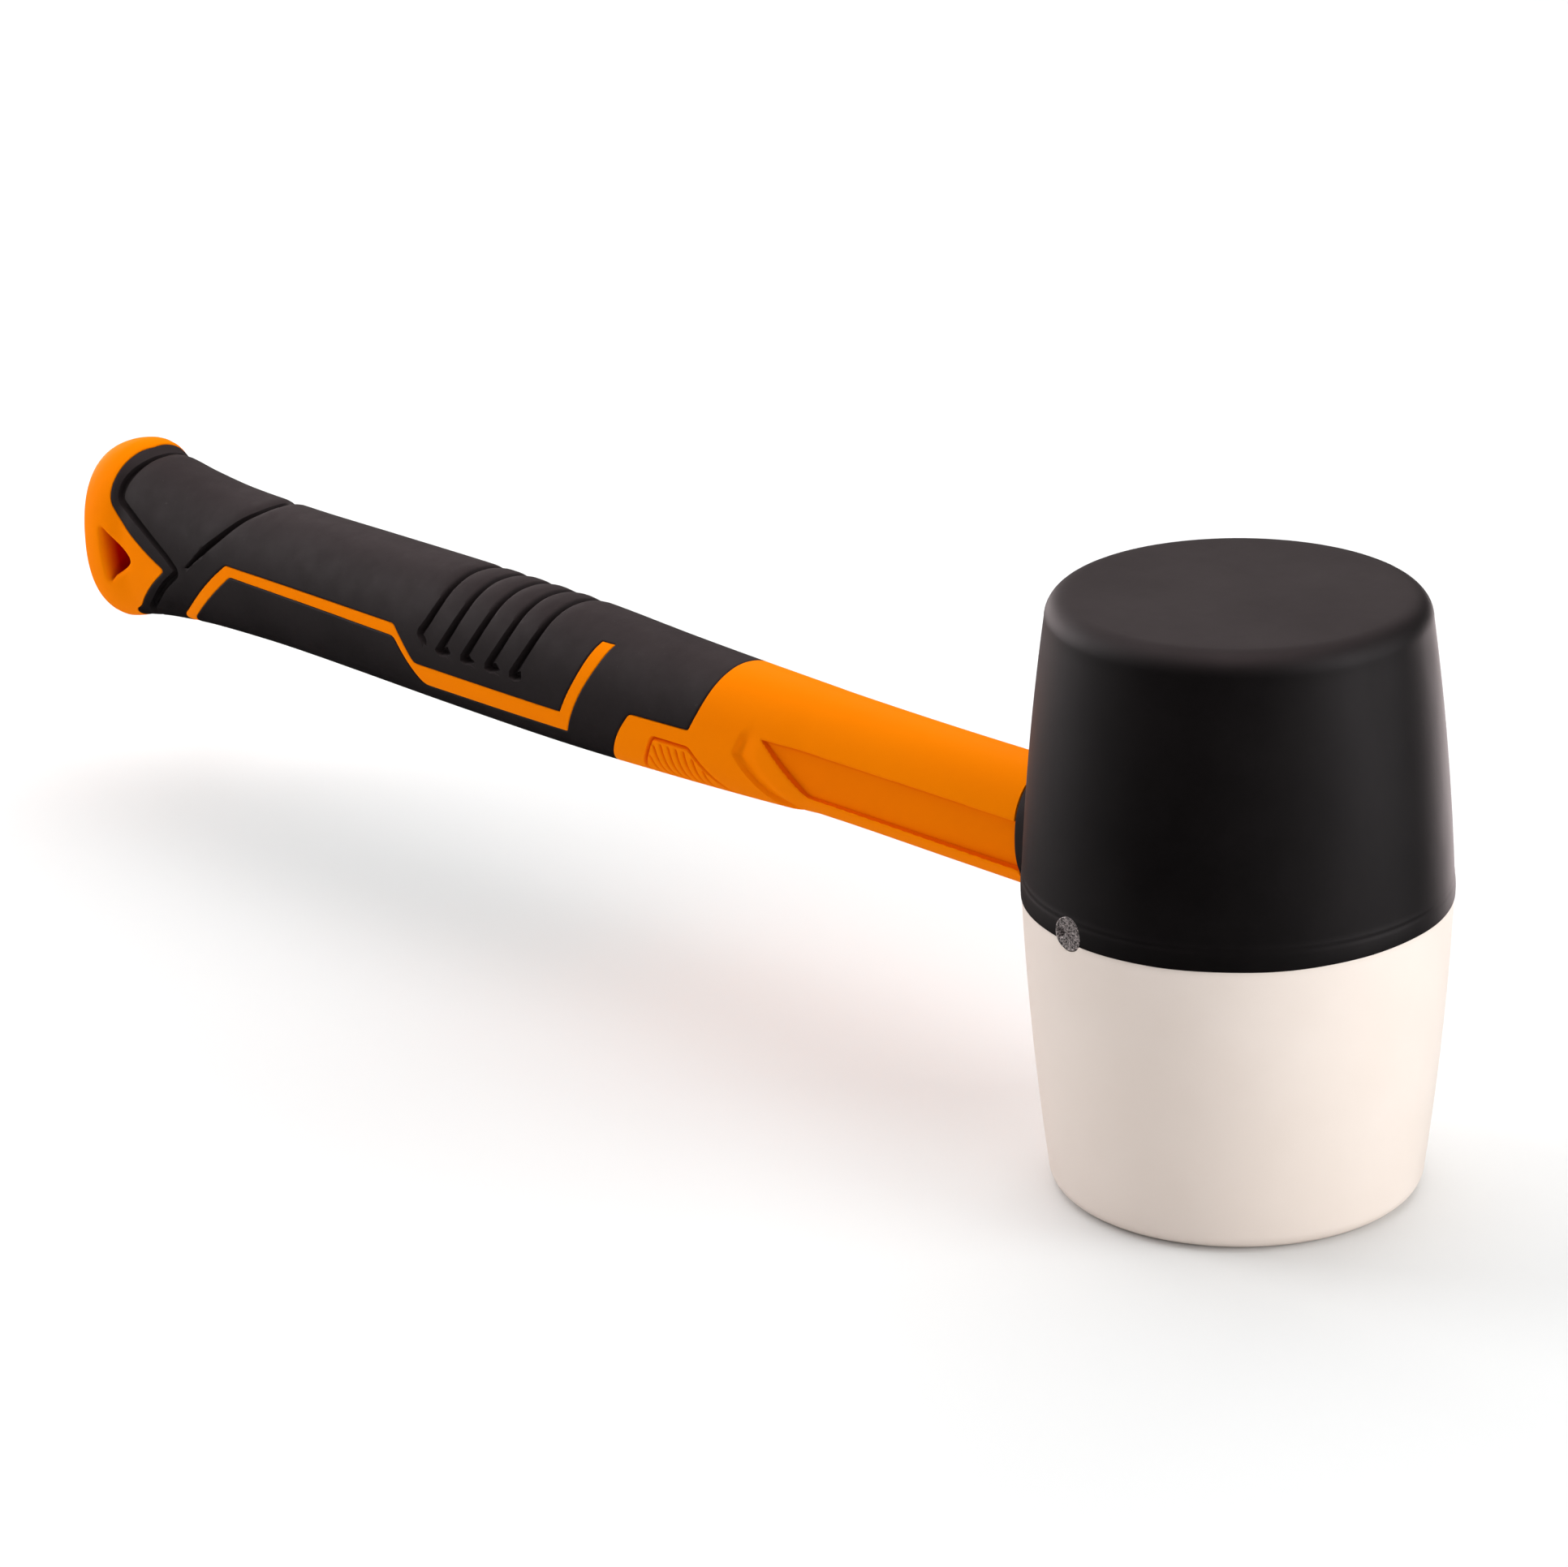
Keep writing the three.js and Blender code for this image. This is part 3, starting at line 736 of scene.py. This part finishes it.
def piece(name, shell, material, node):
    """A shell's object, standing for a CAD node."""
    mesh = bpy.data.meshes.new(name)
    points = (np.array(shell.points) * MM).tolist()
    mesh.from_pydata(points, [], [[int(i) for i in face] for face in shell.faces])
    # the painted shade goes on as a mesh attribute that the material reads
    if shell.painted_shades:
        painted_shades = mesh.attributes.new(PAINTED_SHADE_ATTRIBUTE, "FLOAT", "POINT")
        for number, depth in shell.painted_shades.items():
            painted_shades.data[number].value = depth
    work = bmesh.new()
    work.from_mesh(mesh)
    bmesh.ops.delete(work, geom=[v for v in work.verts if not v.link_faces], context="VERTS")
    bmesh.ops.recalc_face_normals(work, faces=work.faces)
    open_edges = sum(not e.is_manifold for e in work.edges)
    if open_edges:
        raise ValueError(f"{name} has {open_edges} open edges")
    if work.calc_volume(signed=True) < 0:
        bmesh.ops.reverse_faces(work, faces=work.faces)
    work.to_mesh(mesh)
    work.free()
    return placed(name, mesh, material, node)


def placed(name, mesh, material, node):
    """A mesh's object, with its material. Without a node it is only a tool."""
    mesh.materials.clear()
    mesh.materials.append(material)
    mesh.polygons.foreach_set("use_smooth", [True] * len(mesh.polygons))
    mesh.set_sharp_from_angle(angle=math.radians(SHARP_ANGLE))
    thing = bpy.data.objects.new(name, mesh)
    bpy.context.scene.collection.objects.link(thing)
    if node:
        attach(thing, "root")
        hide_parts(node)
    return thing


# ---------- the handle's pieces ----------
TENON_HALF_HEIGHT = 9.2
TENON_HALF_WIDTH = 7.1
CORE_FIT = 0.05
COLLAR_FIT = 0.1
SOCKET_FIT = 0.1
TENON_SOCKET_FIT = 0.15
HOLE_RINGS = (0.04, 0.09, 0.15, 0.22, 0.32, 0.5, 0.68, 0.78, 0.85, 0.91, 0.96)  # shares of its width


def make_grip(gaps, material):
    shell = Shell()
    outer = both_sides(shell, FINE, lowered(FINE.points, grip_depths(gaps)))
    inner = both_sides(shell, COARSE, lowered(COARSE.points, GRIP_THICKNESS))
    shown = two_faced(FINE.triangles[FINE.covered], *outer)
    hidden = two_faced(COARSE.triangles[COARSE.covered], *inner)
    shell.faces = shown + [face[::-1] for face in hidden]
    joined_sheets(shell, outer, inner, shown)
    return piece("grip", shell, material, "grip_sleeve")


def butt_rings():
    """Rings over the butt's last stretch, closer together where it turns over."""
    power = BUTT_SIDE_POWER / 2
    start = math.asin(((BODY_END - BUTT_START) / (HANDLE_END - BUTT_START)) ** power)
    turns = np.linspace(start, math.pi / 2, 22)[1:-1]
    reaches = BUTT_START + (HANDLE_END - BUTT_START) * np.sin(turns) ** (1 / power)
    return [skin(reach, AROUND) for reach in reaches]


def make_jacket(gaps, material):
    shell = Shell()
    points = lowered(FINE.points, jacket_depths(FINE.points, gaps))
    outer = both_sides(shell, FINE, panel_pressed(FINE.points, gaps, points))
    seat = both_sides(shell, COARSE, lowered(COARSE.points, SEAT_DEPTH))
    shown = two_faced(FINE.triangles[~FINE.covered], *outer)
    shell.faces = shown + two_faced(COARSE.triangles[COARSE.covered], *seat)
    joined_sheets(shell, outer, seat, shown)
    start = ring_around(np.array(FINE.lines["start"]), *outer)
    end = ring_around(np.array(FINE.lines["end"]), *outer)
    bore = [round_ring(reach, CORE_RADIUS + CORE_FIT) for reach in (TENON_END, CORE_END)]
    rings = shell.tube([tenon_ring(JACKET_START), tenon_ring(TENON_END), *bore])
    shell.bridge(start, rings[0])
    shell.cap(rings[-1])
    rings = shell.tube(butt_rings())
    shell.bridge(end, rings[0])
    shell.cap(rings[-1])
    # painted shade in the badge's grooves and over the panel's floor
    painted_shades = painted_jacket_shade(FINE.points, gaps)
    for numbers in outer:
        shell.painted_shades.update(zip(numbers, painted_shades))
    hole_walls(shell, *outer)
    return piece("handle", shell, material, "handle_jacket")


def hole_walls(shell, near, far):
    loop = np.array(FINE.lines["hole"][:-1])
    a = np.array([shell.points[i] for i in near[loop]])
    b = np.array([shell.points[i] for i in far[loop]])
    rings = shell.tube([a + (b - a) * t for t in HOLE_RINGS])
    for numbers, t in zip(rings, HOLE_RINGS):
        # painted shade, from none at the hole's mouths to full in its middle
        depth = min(min(t, 1 - t) / HOLE_SHADE, 1.0)
        shell.painted_shades.update((number, depth) for number in numbers)
    shell.bridge(near[loop], rings[0])
    shell.bridge(rings[-1], far[loop])


def all_round(count):
    """Even angles round a whole turn."""
    return np.linspace(0, 2 * math.pi, count + 1)[:-1]


def make_collar(material):
    angles = all_round(160)
    inner = [tenon_ring(reach, COLLAR_FIT, angles) for reach in (COLLAR_END, COLLAR_START)]
    profile = [(COLLAR_START, 0.3)]  # (reach, depth)
    profile += [(reach, 0.05) for reach in np.linspace(COLLAR_START + 1, COLLAR_END - 0.5, 9)]
    profile += [(COLLAR_END - 0.2, 0.1), (COLLAR_END - 0.05, 0.22), (COLLAR_END, 0.45)]
    outer = [skin_ring(reach, depth, angles) for reach, depth in profile]
    shell = Shell()
    rings = shell.tube([*inner, *outer])
    shell.bridge(rings[-1], rings[0])
    return piece("neck_sleeve", shell, material, "neck_collar")


# ---------- the head ----------
BLACK_SHAPE = dict(seam_radius=35.65, face_radius=30.95, curve=0.6, rim_round=4.1)
WHITE_SHAPE = dict(seam_radius=35.55, face_radius=30.95, curve=0.53, rim_round=3.3)
HEAD_SEGMENTS = 256
SEAM_ROWS = 8  # rows of points over which the seam's wander fades out
SKIRT = 0.14  # how far the black half's edge hangs over the white half's top
LIP_ROUND = 0.27  # the black half's edge is a slightly swollen lip, with a crease above it
LIP_RISE = 3.3
LIP_TOP = LIP_RISE + 1
LIP_SWELL = 0.13
CREASE_DEPTH = 0.1
CREASE_WIDTH = 0.35


def barrel_radius(t, seam_radius, face_radius, curve, **_):
    return seam_radius - (seam_radius - face_radius) * (curve * t * t + (1 - curve) * t)


def barrel_side(face_z, shape):
    """(radius, z) points from the seam to the middle of the face, with a rounded rim."""
    rim_round = shape["rim_round"]
    height = abs(face_z - SEAM_Z)
    toward = math.copysign(1, face_z - SEAM_Z)
    steps = np.linspace(0, 1 - rim_round / height, 30)
    side = [(barrel_radius(t, **shape), SEAM_Z + toward * height * t) for t in steps]
    edge, z = side[-1]
    turn = [
        (edge - rim_round * (1 - math.cos(a)) - 0.02 * a, z + toward * rim_round * math.sin(a))
        for a in np.linspace(0, math.pi / 2, 13)[1:]
    ]
    flat = [(turn[-1][0] * (1 - t), face_z) for t in (0.05, 0.2, 0.4, 0.6, 0.8)]
    return side + turn + flat


def lathed(profile, wave):
    """A closed turned shell. The wave moves each point of its profile out and up."""
    angles = all_round(HEAD_SEGMENTS)
    rings = []
    for number, (radius, z) in enumerate(profile):
        out, up = wave(number, angles)
        x, y = (radius + out) * np.cos(angles), (radius + out) * np.sin(angles)
        rings.append(np.stack([x, y, np.full(len(angles), z) + up], axis=-1))
    return solid(rings)


def drilled(shell, name, cutters, material, node):
    """A head half with the handle's socket and the pin's hole cut out of it."""
    blank = piece(name + "_blank", shell, material, None)
    for cutter in cutters:
        cut = blank.modifiers.new("cut", "BOOLEAN")
        cut.operation = "DIFFERENCE"
        cut.solver = "EXACT"
        cut.object = cutter
    bpy.context.view_layer.update()
    graph = bpy.context.evaluated_depsgraph_get()
    mesh = bpy.data.meshes.new_from_object(blank.evaluated_get(graph))
    bpy.data.meshes.remove(blank.data)
    mesh.name = name
    work = bmesh.new()
    work.from_mesh(mesh)
    bmesh.ops.dissolve_degenerate(work, dist=1e-7, edges=work.edges)
    work.to_mesh(mesh)
    work.free()
    return placed(name, mesh, material, node)


def head_cutters():
    """Solids for the handle's socket and the pin's hole, a little larger than what fills them."""
    angles = all_round(128)
    collar = (COLLAR_START - 0.2, 28, 34, 40, COLLAR_END + 8)
    tenon = (TENON_END - 0.2, COLLAR_START + 2)
    shells = (
        solid([skin_ring(reach, -SOCKET_FIT, angles) for reach in collar]),
        solid([tenon_ring(reach, TENON_SOCKET_FIT, angles) for reach in tenon]),
        solid([pin_ring(y, PIN_RADIUS + SOCKET_FIT) for y in (-45, 45)]),
    )
    return [piece(f"cutter_{i}", shell, None, None) for i, shell in enumerate(shells)]


PIN_SEGMENTS = 96


def pin_ring(y, radius):
    angles = all_round(PIN_SEGMENTS)
    x, z = -PIN_REACH + radius * np.cos(angles), PIN_Z + radius * np.sin(angles)
    return np.stack([x, np.full(PIN_SEGMENTS, float(y)), z], axis=-1)


def waves(angles, *terms):
    return sum(size * np.sin(count * angles + phase) for count, size, phase in terms)


def seam_rise(angles):
    """How far the seam wanders up from its plane, most on the side away from the handle."""
    return waves(angles, (1, 0.3, 0.87), (3, 0.07, 1.0), (7, 0.04, 2.1), (13, 0.025, 0.7))


def make_black_half(cutters, material):
    bottom = SEAM_Z + 0.05
    edge = SEAM_Z - SKIRT
    inner = BLACK_SHAPE["seam_radius"] - LIP_ROUND
    profile = [(33.5, bottom), (inner - 0.13, bottom), (inner - 0.08, edge), (inner, edge + 0.01)]
    foot = len(profile) - 1
    for a in (0.4, 0.8, 1.2):
        profile.append((inner + LIP_ROUND * math.sin(a), edge + 0.3 * (1 - math.cos(a))))
    lip = len(profile)
    heights = np.linspace(0.3, LIP_TOP, 20)
    tall = HEAD_TOP - SEAM_Z
    profile += [(barrel_radius(z / tall, **BLACK_SHAPE), SEAM_Z + z) for z in heights]
    side = barrel_side(HEAD_TOP, BLACK_SHAPE)
    profile += [(radius, z) for radius, z in side if z > SEAM_Z + LIP_TOP + 0.6]

    def wave(number, angles):
        rise = np.zeros(len(angles))
        swell = np.zeros(len(angles))
        if number < lip + SEAM_ROWS:
            rise = seam_rise(angles) * (1 if number < lip else 1 - (number - lip) / SEAM_ROWS)
        if lip <= number < lip + len(heights):
            z = heights[number - lip]
            depth = CREASE_DEPTH * (0.6 + waves(angles, (2, 0.3, 0.4), (5, 0.2, 1.9)))
            swell = LIP_SWELL * math.sin(math.pi * min(z / LIP_TOP, 1)) ** 0.7
            swell = swell - depth * math.exp(-(((z - LIP_RISE) / CREASE_WIDTH) ** 2))
        elif foot < number < lip:
            swell = LIP_SWELL * 0.5 * (number - foot) / (lip - foot)
        return swell, rise

    return drilled(lathed(profile, wave), "head_black", cutters, material, "head_black_half")


def make_white_half(cutters, material):
    edge, top = WHITE_SHAPE["seam_radius"], SEAM_Z
    profile = [(33.0, top), (edge - 0.3, top), (edge - 0.1, top - 0.06), (edge - 0.02, top - 0.22)]
    lip = len(profile)
    profile += barrel_side(0.0, WHITE_SHAPE)[1:]

    def wave(number, angles):
        share = 1 - np.clip((number - lip + 1) / SEAM_ROWS, 0, 1)
        return 0, share * seam_rise(angles)

    return drilled(lathed(profile, wave), "head_white", cutters, material, "head_white_half")


PIN_PITS = 0.06  # how far the pin's rough faces go in and out
PIN_RIM = ((0.3, 0.0), (0.22, 0.1), (0.1, 0.1), (0.0, 0.0))  # (distance in from its side, height)
NICK_AT = (-1.9, -0.2)  # from the pin's axis
NICK_RADIUS = 1.1
NICK_DEPTH = 1.7


def make_pin(material):
    """A pin with roughly cut ends: a bright rim round a dull, pitted face with a nick."""
    rng = np.random.default_rng(7)

    def end(side):
        face = side * (PIN_HALF - 0.12)
        rings = []
        for radius in np.linspace(0.25, PIN_RADIUS - 0.35, 9):
            pitted = pin_ring(face, radius)
            pitted[:, 1] += rng.uniform(-PIN_PITS, PIN_PITS, len(pitted))
            x, z = pitted[:, 0] + PIN_REACH - NICK_AT[0], pitted[:, 2] - PIN_Z - NICK_AT[1]
            pitted[:, 1] -= side * NICK_DEPTH * faded(np.hypot(x, z), NICK_RADIUS)
            rings.append(pitted)
        rings += [pin_ring(face + side * height, PIN_RADIUS - inset) for inset, height in PIN_RIM]
        return rings

    return piece("pin", solid(end(-1) + end(1)[::-1]), material, "cross_pin")


# ---------- materials ----------


class Surface:
    """A material on one Principled shader, with its patterns in object coordinates."""

    def __init__(self, name, **constants):
        self.material = bpy.data.materials.new(name)
        self.material.use_nodes = True
        self.tree = self.material.node_tree
        self.shader = self.tree.nodes["Principled BSDF"]
        self.place = self.tree.nodes.new("ShaderNodeTexCoord").outputs["Object"]
        for socket, value in constants.items():
            self.shader.inputs[socket].default_value = value

    def node(self, kind, inputs, **settings):
        """A new node's outputs, its inputs fed with numbers or with other nodes' outputs."""
        made = self.tree.nodes.new("ShaderNode" + kind)
        for key, value in settings.items():
            setattr(made, key, value)
        for key, value in inputs.items():
            self.feed(made.inputs[key], value)
        return made.outputs

    def feed(self, socket, value):
        if isinstance(value, bpy.types.NodeSocket):
            self.tree.links.new(value, socket)
        else:
            socket.default_value = value

    def noise(self, size_mm, detail=2.0, roughness=0.5, stretch=(1, 1, 1)):
        place = self.place
        if stretch != (1, 1, 1):
            place = self.node("Mapping", {"Vector": place, "Scale": stretch})["Vector"]
        scale = 1 / (size_mm * MM)
        inputs = {"Vector": place, "Scale": scale, "Detail": detail, "Roughness": roughness}
        return self.node("TexNoise", inputs)["Fac"]

    def specks(self, pitch_mm, size, rarity):
        """1 in round specks, and 0 between them."""
        cells = self.node("TexVoronoi", {"Vector": self.place, "Scale": 1 / (pitch_mm * MM)})
        chosen = self.math("GREATER_THAN", cells["Color"], rarity)
        return self.math("MULTIPLY", self.math("LESS_THAN", cells["Distance"], size), chosen)

    def remap(self, value, from_low, from_high, to_low, to_high):
        names = ("Value", "From Min", "From Max", "To Min", "To Max")
        numbers = (value, from_low, from_high, to_low, to_high)
        return self.node("MapRange", dict(zip(names, numbers)))["Result"]

    def math(self, operation, a, b):
        return self.node("Math", {0: a, 1: b}, operation=operation)[0]

    def blend(self, share, a, b):
        return self.node("Mix", {"Factor": share, "A": a, "B": b}, data_type="RGBA")["Result"]

    def mottled(self, pattern, a, b):
        """Patches of two colours."""
        return self.blend(self.remap(pattern, 0.3, 0.7, 0, 1), a, b)

    def colour(self, value):
        self.feed(self.shader.inputs["Base Color"], value)

    def roughness(self, pattern, low, high, start=0.25, end=0.75):
        self.feed(self.shader.inputs["Roughness"], self.remap(pattern, start, end, low, high))

    def bump(self, *layers):
        """Bump from (height, depth in mm) layers, one over another."""
        normal = {}
        for height, depth_mm in layers:
            inputs = {"Distance": depth_mm * MM, "Height": height, **normal}
            normal = {"Normal": self.node("Bump", inputs)["Normal"]}
        self.feed(self.shader.inputs["Normal"], normal["Normal"])


def grey(value, warmth=0.0):
    return (value * (1 + warmth), value, value * (1 - warmth), 1)


def make_black_rubber():
    """Moulded solid rubber: near-black and satin, faintly mottled, with specks of dust."""
    s = Surface("black_rubber", **{"Specular IOR Level": 0.42, "Specular Tint": (1, 0.87, 0.9, 1)})
    dark, pale = (0.0026, 0.0022, 0.0022, 1), (0.005, 0.0042, 0.0042, 1)
    base = s.mottled(s.noise(14, 4, 0.55), dark, pale)
    s.colour(s.blend(s.specks(7, 0.022, 0.62), base, grey(0.09, 0.04)))
    s.roughness(s.noise(26, 5, 0.6, (1, 1, 0.35)), 0.54, 0.66)
    s.bump((s.noise(0.35, 2, 0.5), 0.006), (s.noise(9, 3, 0.5), 0.02))
    return s.material


def make_white_rubber():
    """Ivory rubber, a shade warmer in soft patches, with a few scuffs of black."""
    s = Surface("white_rubber", **{"Specular IOR Level": 0.4})
    base = s.mottled(s.noise(30, 3, 0.5), (0.85, 0.745, 0.68, 1), (0.81, 0.7, 0.63, 1))
    s.colour(s.blend(s.specks(9, 0.018, 0.7), base, (0.42, 0.35, 0.3, 1)))
    s.roughness(s.noise(18, 4, 0.55), 0.5, 0.66)
    s.bump((s.noise(0.4, 2, 0.5), 0.005), (s.noise(10, 3, 0.5), 0.02))
    return s.material


def make_orange_plastic():
    """Moulded plastic, slightly deeper in patches, with a fine spark-eroded grain. The deeper red in
    the grooves, the panel and the hanging hole is painted shade, standing for light that bounces about."""
    s = Surface("orange_plastic", **{"Specular IOR Level": 0.004})
    flow = s.noise(22, 3, 0.5, (0.4, 1, 1))
    outside = s.mottled(flow, (0.94, 0.226, 0.0, 1), (0.91, 0.206, 0.0, 1))
    # painted shade: a deeper red blended in where the mesh attribute says the skin is shut in
    painted_shade = s.node("Attribute", {}, attribute_name=PAINTED_SHADE_ATTRIBUTE)["Fac"]
    s.colour(s.blend(painted_shade, outside, (0.66, 0.002, 0.0, 1)))
    s.roughness(s.noise(6, 4, 0.55), 0.42, 0.54)
    s.bump((s.noise(0.28, 2, 0.5), 0.006), (s.noise(7, 2, 0.5), 0.012))
    return s.material


def make_soft_grip():
    """Soft black rubbery plastic with a dry, finely pebbled face."""
    s = Surface("soft_grip", **{"Specular IOR Level": 0.27, "Specular Tint": (1, 0.88, 0.9, 1)})
    base = s.mottled(s.noise(16, 4, 0.55), (0.012, 0.0085, 0.009, 1), (0.0165, 0.012, 0.0125, 1))
    dust = s.remap(s.noise(0.9, 3, 0.6), 0.68, 0.8, 0, 0.35)
    s.colour(s.blend(dust, base, grey(0.05, 0.05)))
    s.roughness(s.noise(5, 4, 0.55), 0.62, 0.76)
    s.bump((s.noise(0.3, 2, 0.55), 0.012), (s.noise(8, 2, 0.5), 0.02))
    return s.material


def make_steel():
    """A sawn steel pin: grey, gritty and dull on its ends."""
    s = Surface("steel", **{"Metallic": 0.3})
    grit = s.noise(0.34, 3, 0.75)
    s.colour(s.blend(s.remap(grit, 0.42, 0.62, 0, 1), (0.02, 0.017, 0.017, 1), (0.6, 0.52, 0.51, 1)))
    s.roughness(s.noise(0.5, 3, 0.6), 0.35, 0.6, 0.3, 0.7)
    s.bump((s.noise(0.3, 3, 0.65), 0.06))
    return s.material


def make_fibreglass():
    """A drawn glass-fibre rod, with fibres along it."""
    s = Surface("fibreglass", **{"Specular IOR Level": 0.5})
    fibre = s.noise(0.5, 4, 0.6, (0.03, 1, 1))
    s.colour(s.mottled(fibre, (0.62, 0.52, 0.3, 1), (0.8, 0.72, 0.5, 1)))
    s.roughness(fibre, 0.3, 0.5, 0.3, 0.7)
    s.bump((fibre, 0.03))
    return s.material


# ---------- floor, lights and camera ----------
# Metres, degrees, and millimetres for the lens
FLOOR_SIDE = 2.8
CAMERA_AZIMUTH = 46.5
CAMERA_ELEVATION = 20.59
CAMERA_ROLL = 1.47
CAMERA_DISTANCE = 0.928
CAMERA_LENS = 130.4
AIM = Vector((-0.0509, -0.054, 0.0721))


def way_to(azimuth, elevation):
    """The direction of a viewer at an azimuth, which is 0 on the -Y side, and an elevation."""
    turn, rise = math.radians(azimuth), math.radians(elevation)
    return Vector((math.sin(turn) * math.cos(rise), -math.cos(turn) * math.cos(rise), math.sin(rise)))


def make_camera():
    back = way_to(CAMERA_AZIMUTH, CAMERA_ELEVATION)
    right = Vector((0, 0, 1)).cross(back).normalized()
    up = back.cross(right)
    roll = math.radians(CAMERA_ROLL)
    rolled_right = right * math.cos(roll) - up * math.sin(roll)
    rolled_up = up * math.cos(roll) + right * math.sin(roll)
    camera = bpy.data.objects.new("camera", bpy.data.cameras.new("camera"))
    camera.data.lens = CAMERA_LENS
    camera.data.sensor_width = 36.0
    camera.data.clip_end = 60.0
    camera.matrix_world = Matrix.Translation(AIM + back * CAMERA_DISTANCE) @ Matrix(
        (rolled_right, rolled_up, back)
    ).transposed().to_4x4()
    bpy.context.scene.collection.objects.link(camera)
    bpy.context.scene.camera = camera


def make_floor():
    """A wide pale sheet of paper under the head's white face."""
    s = Surface("floor_paper", **{"Specular IOR Level": 0.1})
    s.colour(s.blend(s.noise(120, 2), (0.8, 0.8, 0.8, 1), (0.82, 0.82, 0.82, 1)))
    s.roughness(s.noise(60, 2), 0.85, 0.95, 0, 1)
    half = FLOOR_SIDE / 2
    mesh = bpy.data.meshes.new("floor")
    corners = [(-half, -half, 0), (half, -half, 0), (half, half, 0), (-half, half, 0)]
    mesh.from_pydata(corners, [], [(0, 1, 2, 3)])
    mesh.materials.append(s.material)
    floor = bpy.data.objects.new("floor", mesh)
    floor.visible_glossy = False
    bpy.context.scene.collection.objects.link(floor)


def make_light(name, azimuth, elevation, distance, size, power, fills=True, shines=True, tint=1.0):
    """A soft panel that looks at the mallet. One that doesn't shine leaves no gloss on it, and one
    that doesn't fill leaves only gloss."""
    way = way_to(azimuth, elevation)
    panel = bpy.data.lights.new(name, "AREA")
    panel.shape = "RECTANGLE"
    panel.size, panel.size_y = size
    panel.energy = power
    panel.color = (1, tint, tint)
    light = bpy.data.objects.new(name, panel)
    light.location = AIM + way * distance
    light.rotation_mode = "QUATERNION"
    light.rotation_quaternion = (-way).to_track_quat("-Z", "Y")
    light.visible_camera = False
    light.visible_glossy = shines
    light.visible_diffuse = fills
    bpy.context.scene.collection.objects.link(light)


def make_world(strength):
    """A dim white room that leaves no gloss, seen past the floor's edge as plain white."""
    world = bpy.data.worlds.new("studio")
    world.use_nodes = True
    nodes, link = world.node_tree.nodes, world.node_tree.links.new
    room = nodes["Background"]
    room.inputs["Strength"].default_value = strength
    seen = nodes.new("ShaderNodeBackground")
    for background in (room, seen):
        background.inputs["Color"].default_value = (1, 1, 1, 1)
    either = nodes.new("ShaderNodeMixShader")
    link(nodes.new("ShaderNodeLightPath").outputs["Is Camera Ray"], either.inputs[0])
    link(room.outputs[0], either.inputs[1])
    link(seen.outputs[0], either.inputs[2])
    link(either.outputs[0], nodes["World Output"].inputs["Surface"])
    bpy.context.scene.world = world
    world.cycles_visibility.glossy = False


def make_studio():
    """Big soft panels, placed round the mallet from the camera's side. Those that only fill
    keep the dark rubber dark, and those that only shine draw its edges."""
    make_world(0.285)
    front = CAMERA_AZIMUTH
    make_light("top", front + 180, 75, 1.4, (1.6, 1.6), 17, shines=False)
    make_light("back", front + 180, 28, 1.5, (2.0, 0.9), 6, shines=False)
    make_light("back_gloss", front + 180, 50, 1.5, (2.0, 2.6), 12.5, fills=False, tint=0.87)
    make_light("top_gloss", front, 80, 1.4, (1.4, 1.4), 10, fills=False, tint=0.86)
    make_light("right", front + 70, 15, 1.3, (0.7, 1.2), 9.6, tint=1.05)
    make_light("right_gloss", front + 146, -14, 1.2, (0.8, 0.4), 6.5, fills=False, tint=0.88)
    make_light("left_back", front - 115, 20, 1.3, (0.6, 1.2), 9)
    make_light("left_gloss", front - 150, 3, 1.2, (0.6, 0.4), 5, fills=False, tint=0.88)
    make_light("fill", front + 35, 10, 1.5, (1.0, 1.0), 7, shines=False)
    bpy.context.scene.view_settings.view_transform = "Standard"


# ---------- building ----------
make_camera()
make_floor()
make_studio()
black = make_black_rubber()
gaps = {name: distance_to(line, FINE.points) for name, line in LINES.items()}
soft = make_soft_grip()
make_grip(gaps, soft)
make_jacket(gaps, make_orange_plastic())
make_collar(soft)
make_pin(make_steel())
cutters = head_cutters()
make_black_half(cutters, black)
make_white_half(cutters, make_white_rubber())
for cutter in cutters:
    bpy.data.objects.remove(cutter)
fibreglass = make_fibreglass()
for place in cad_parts["handle_core"].material_slots:
    place.material = fibreglass
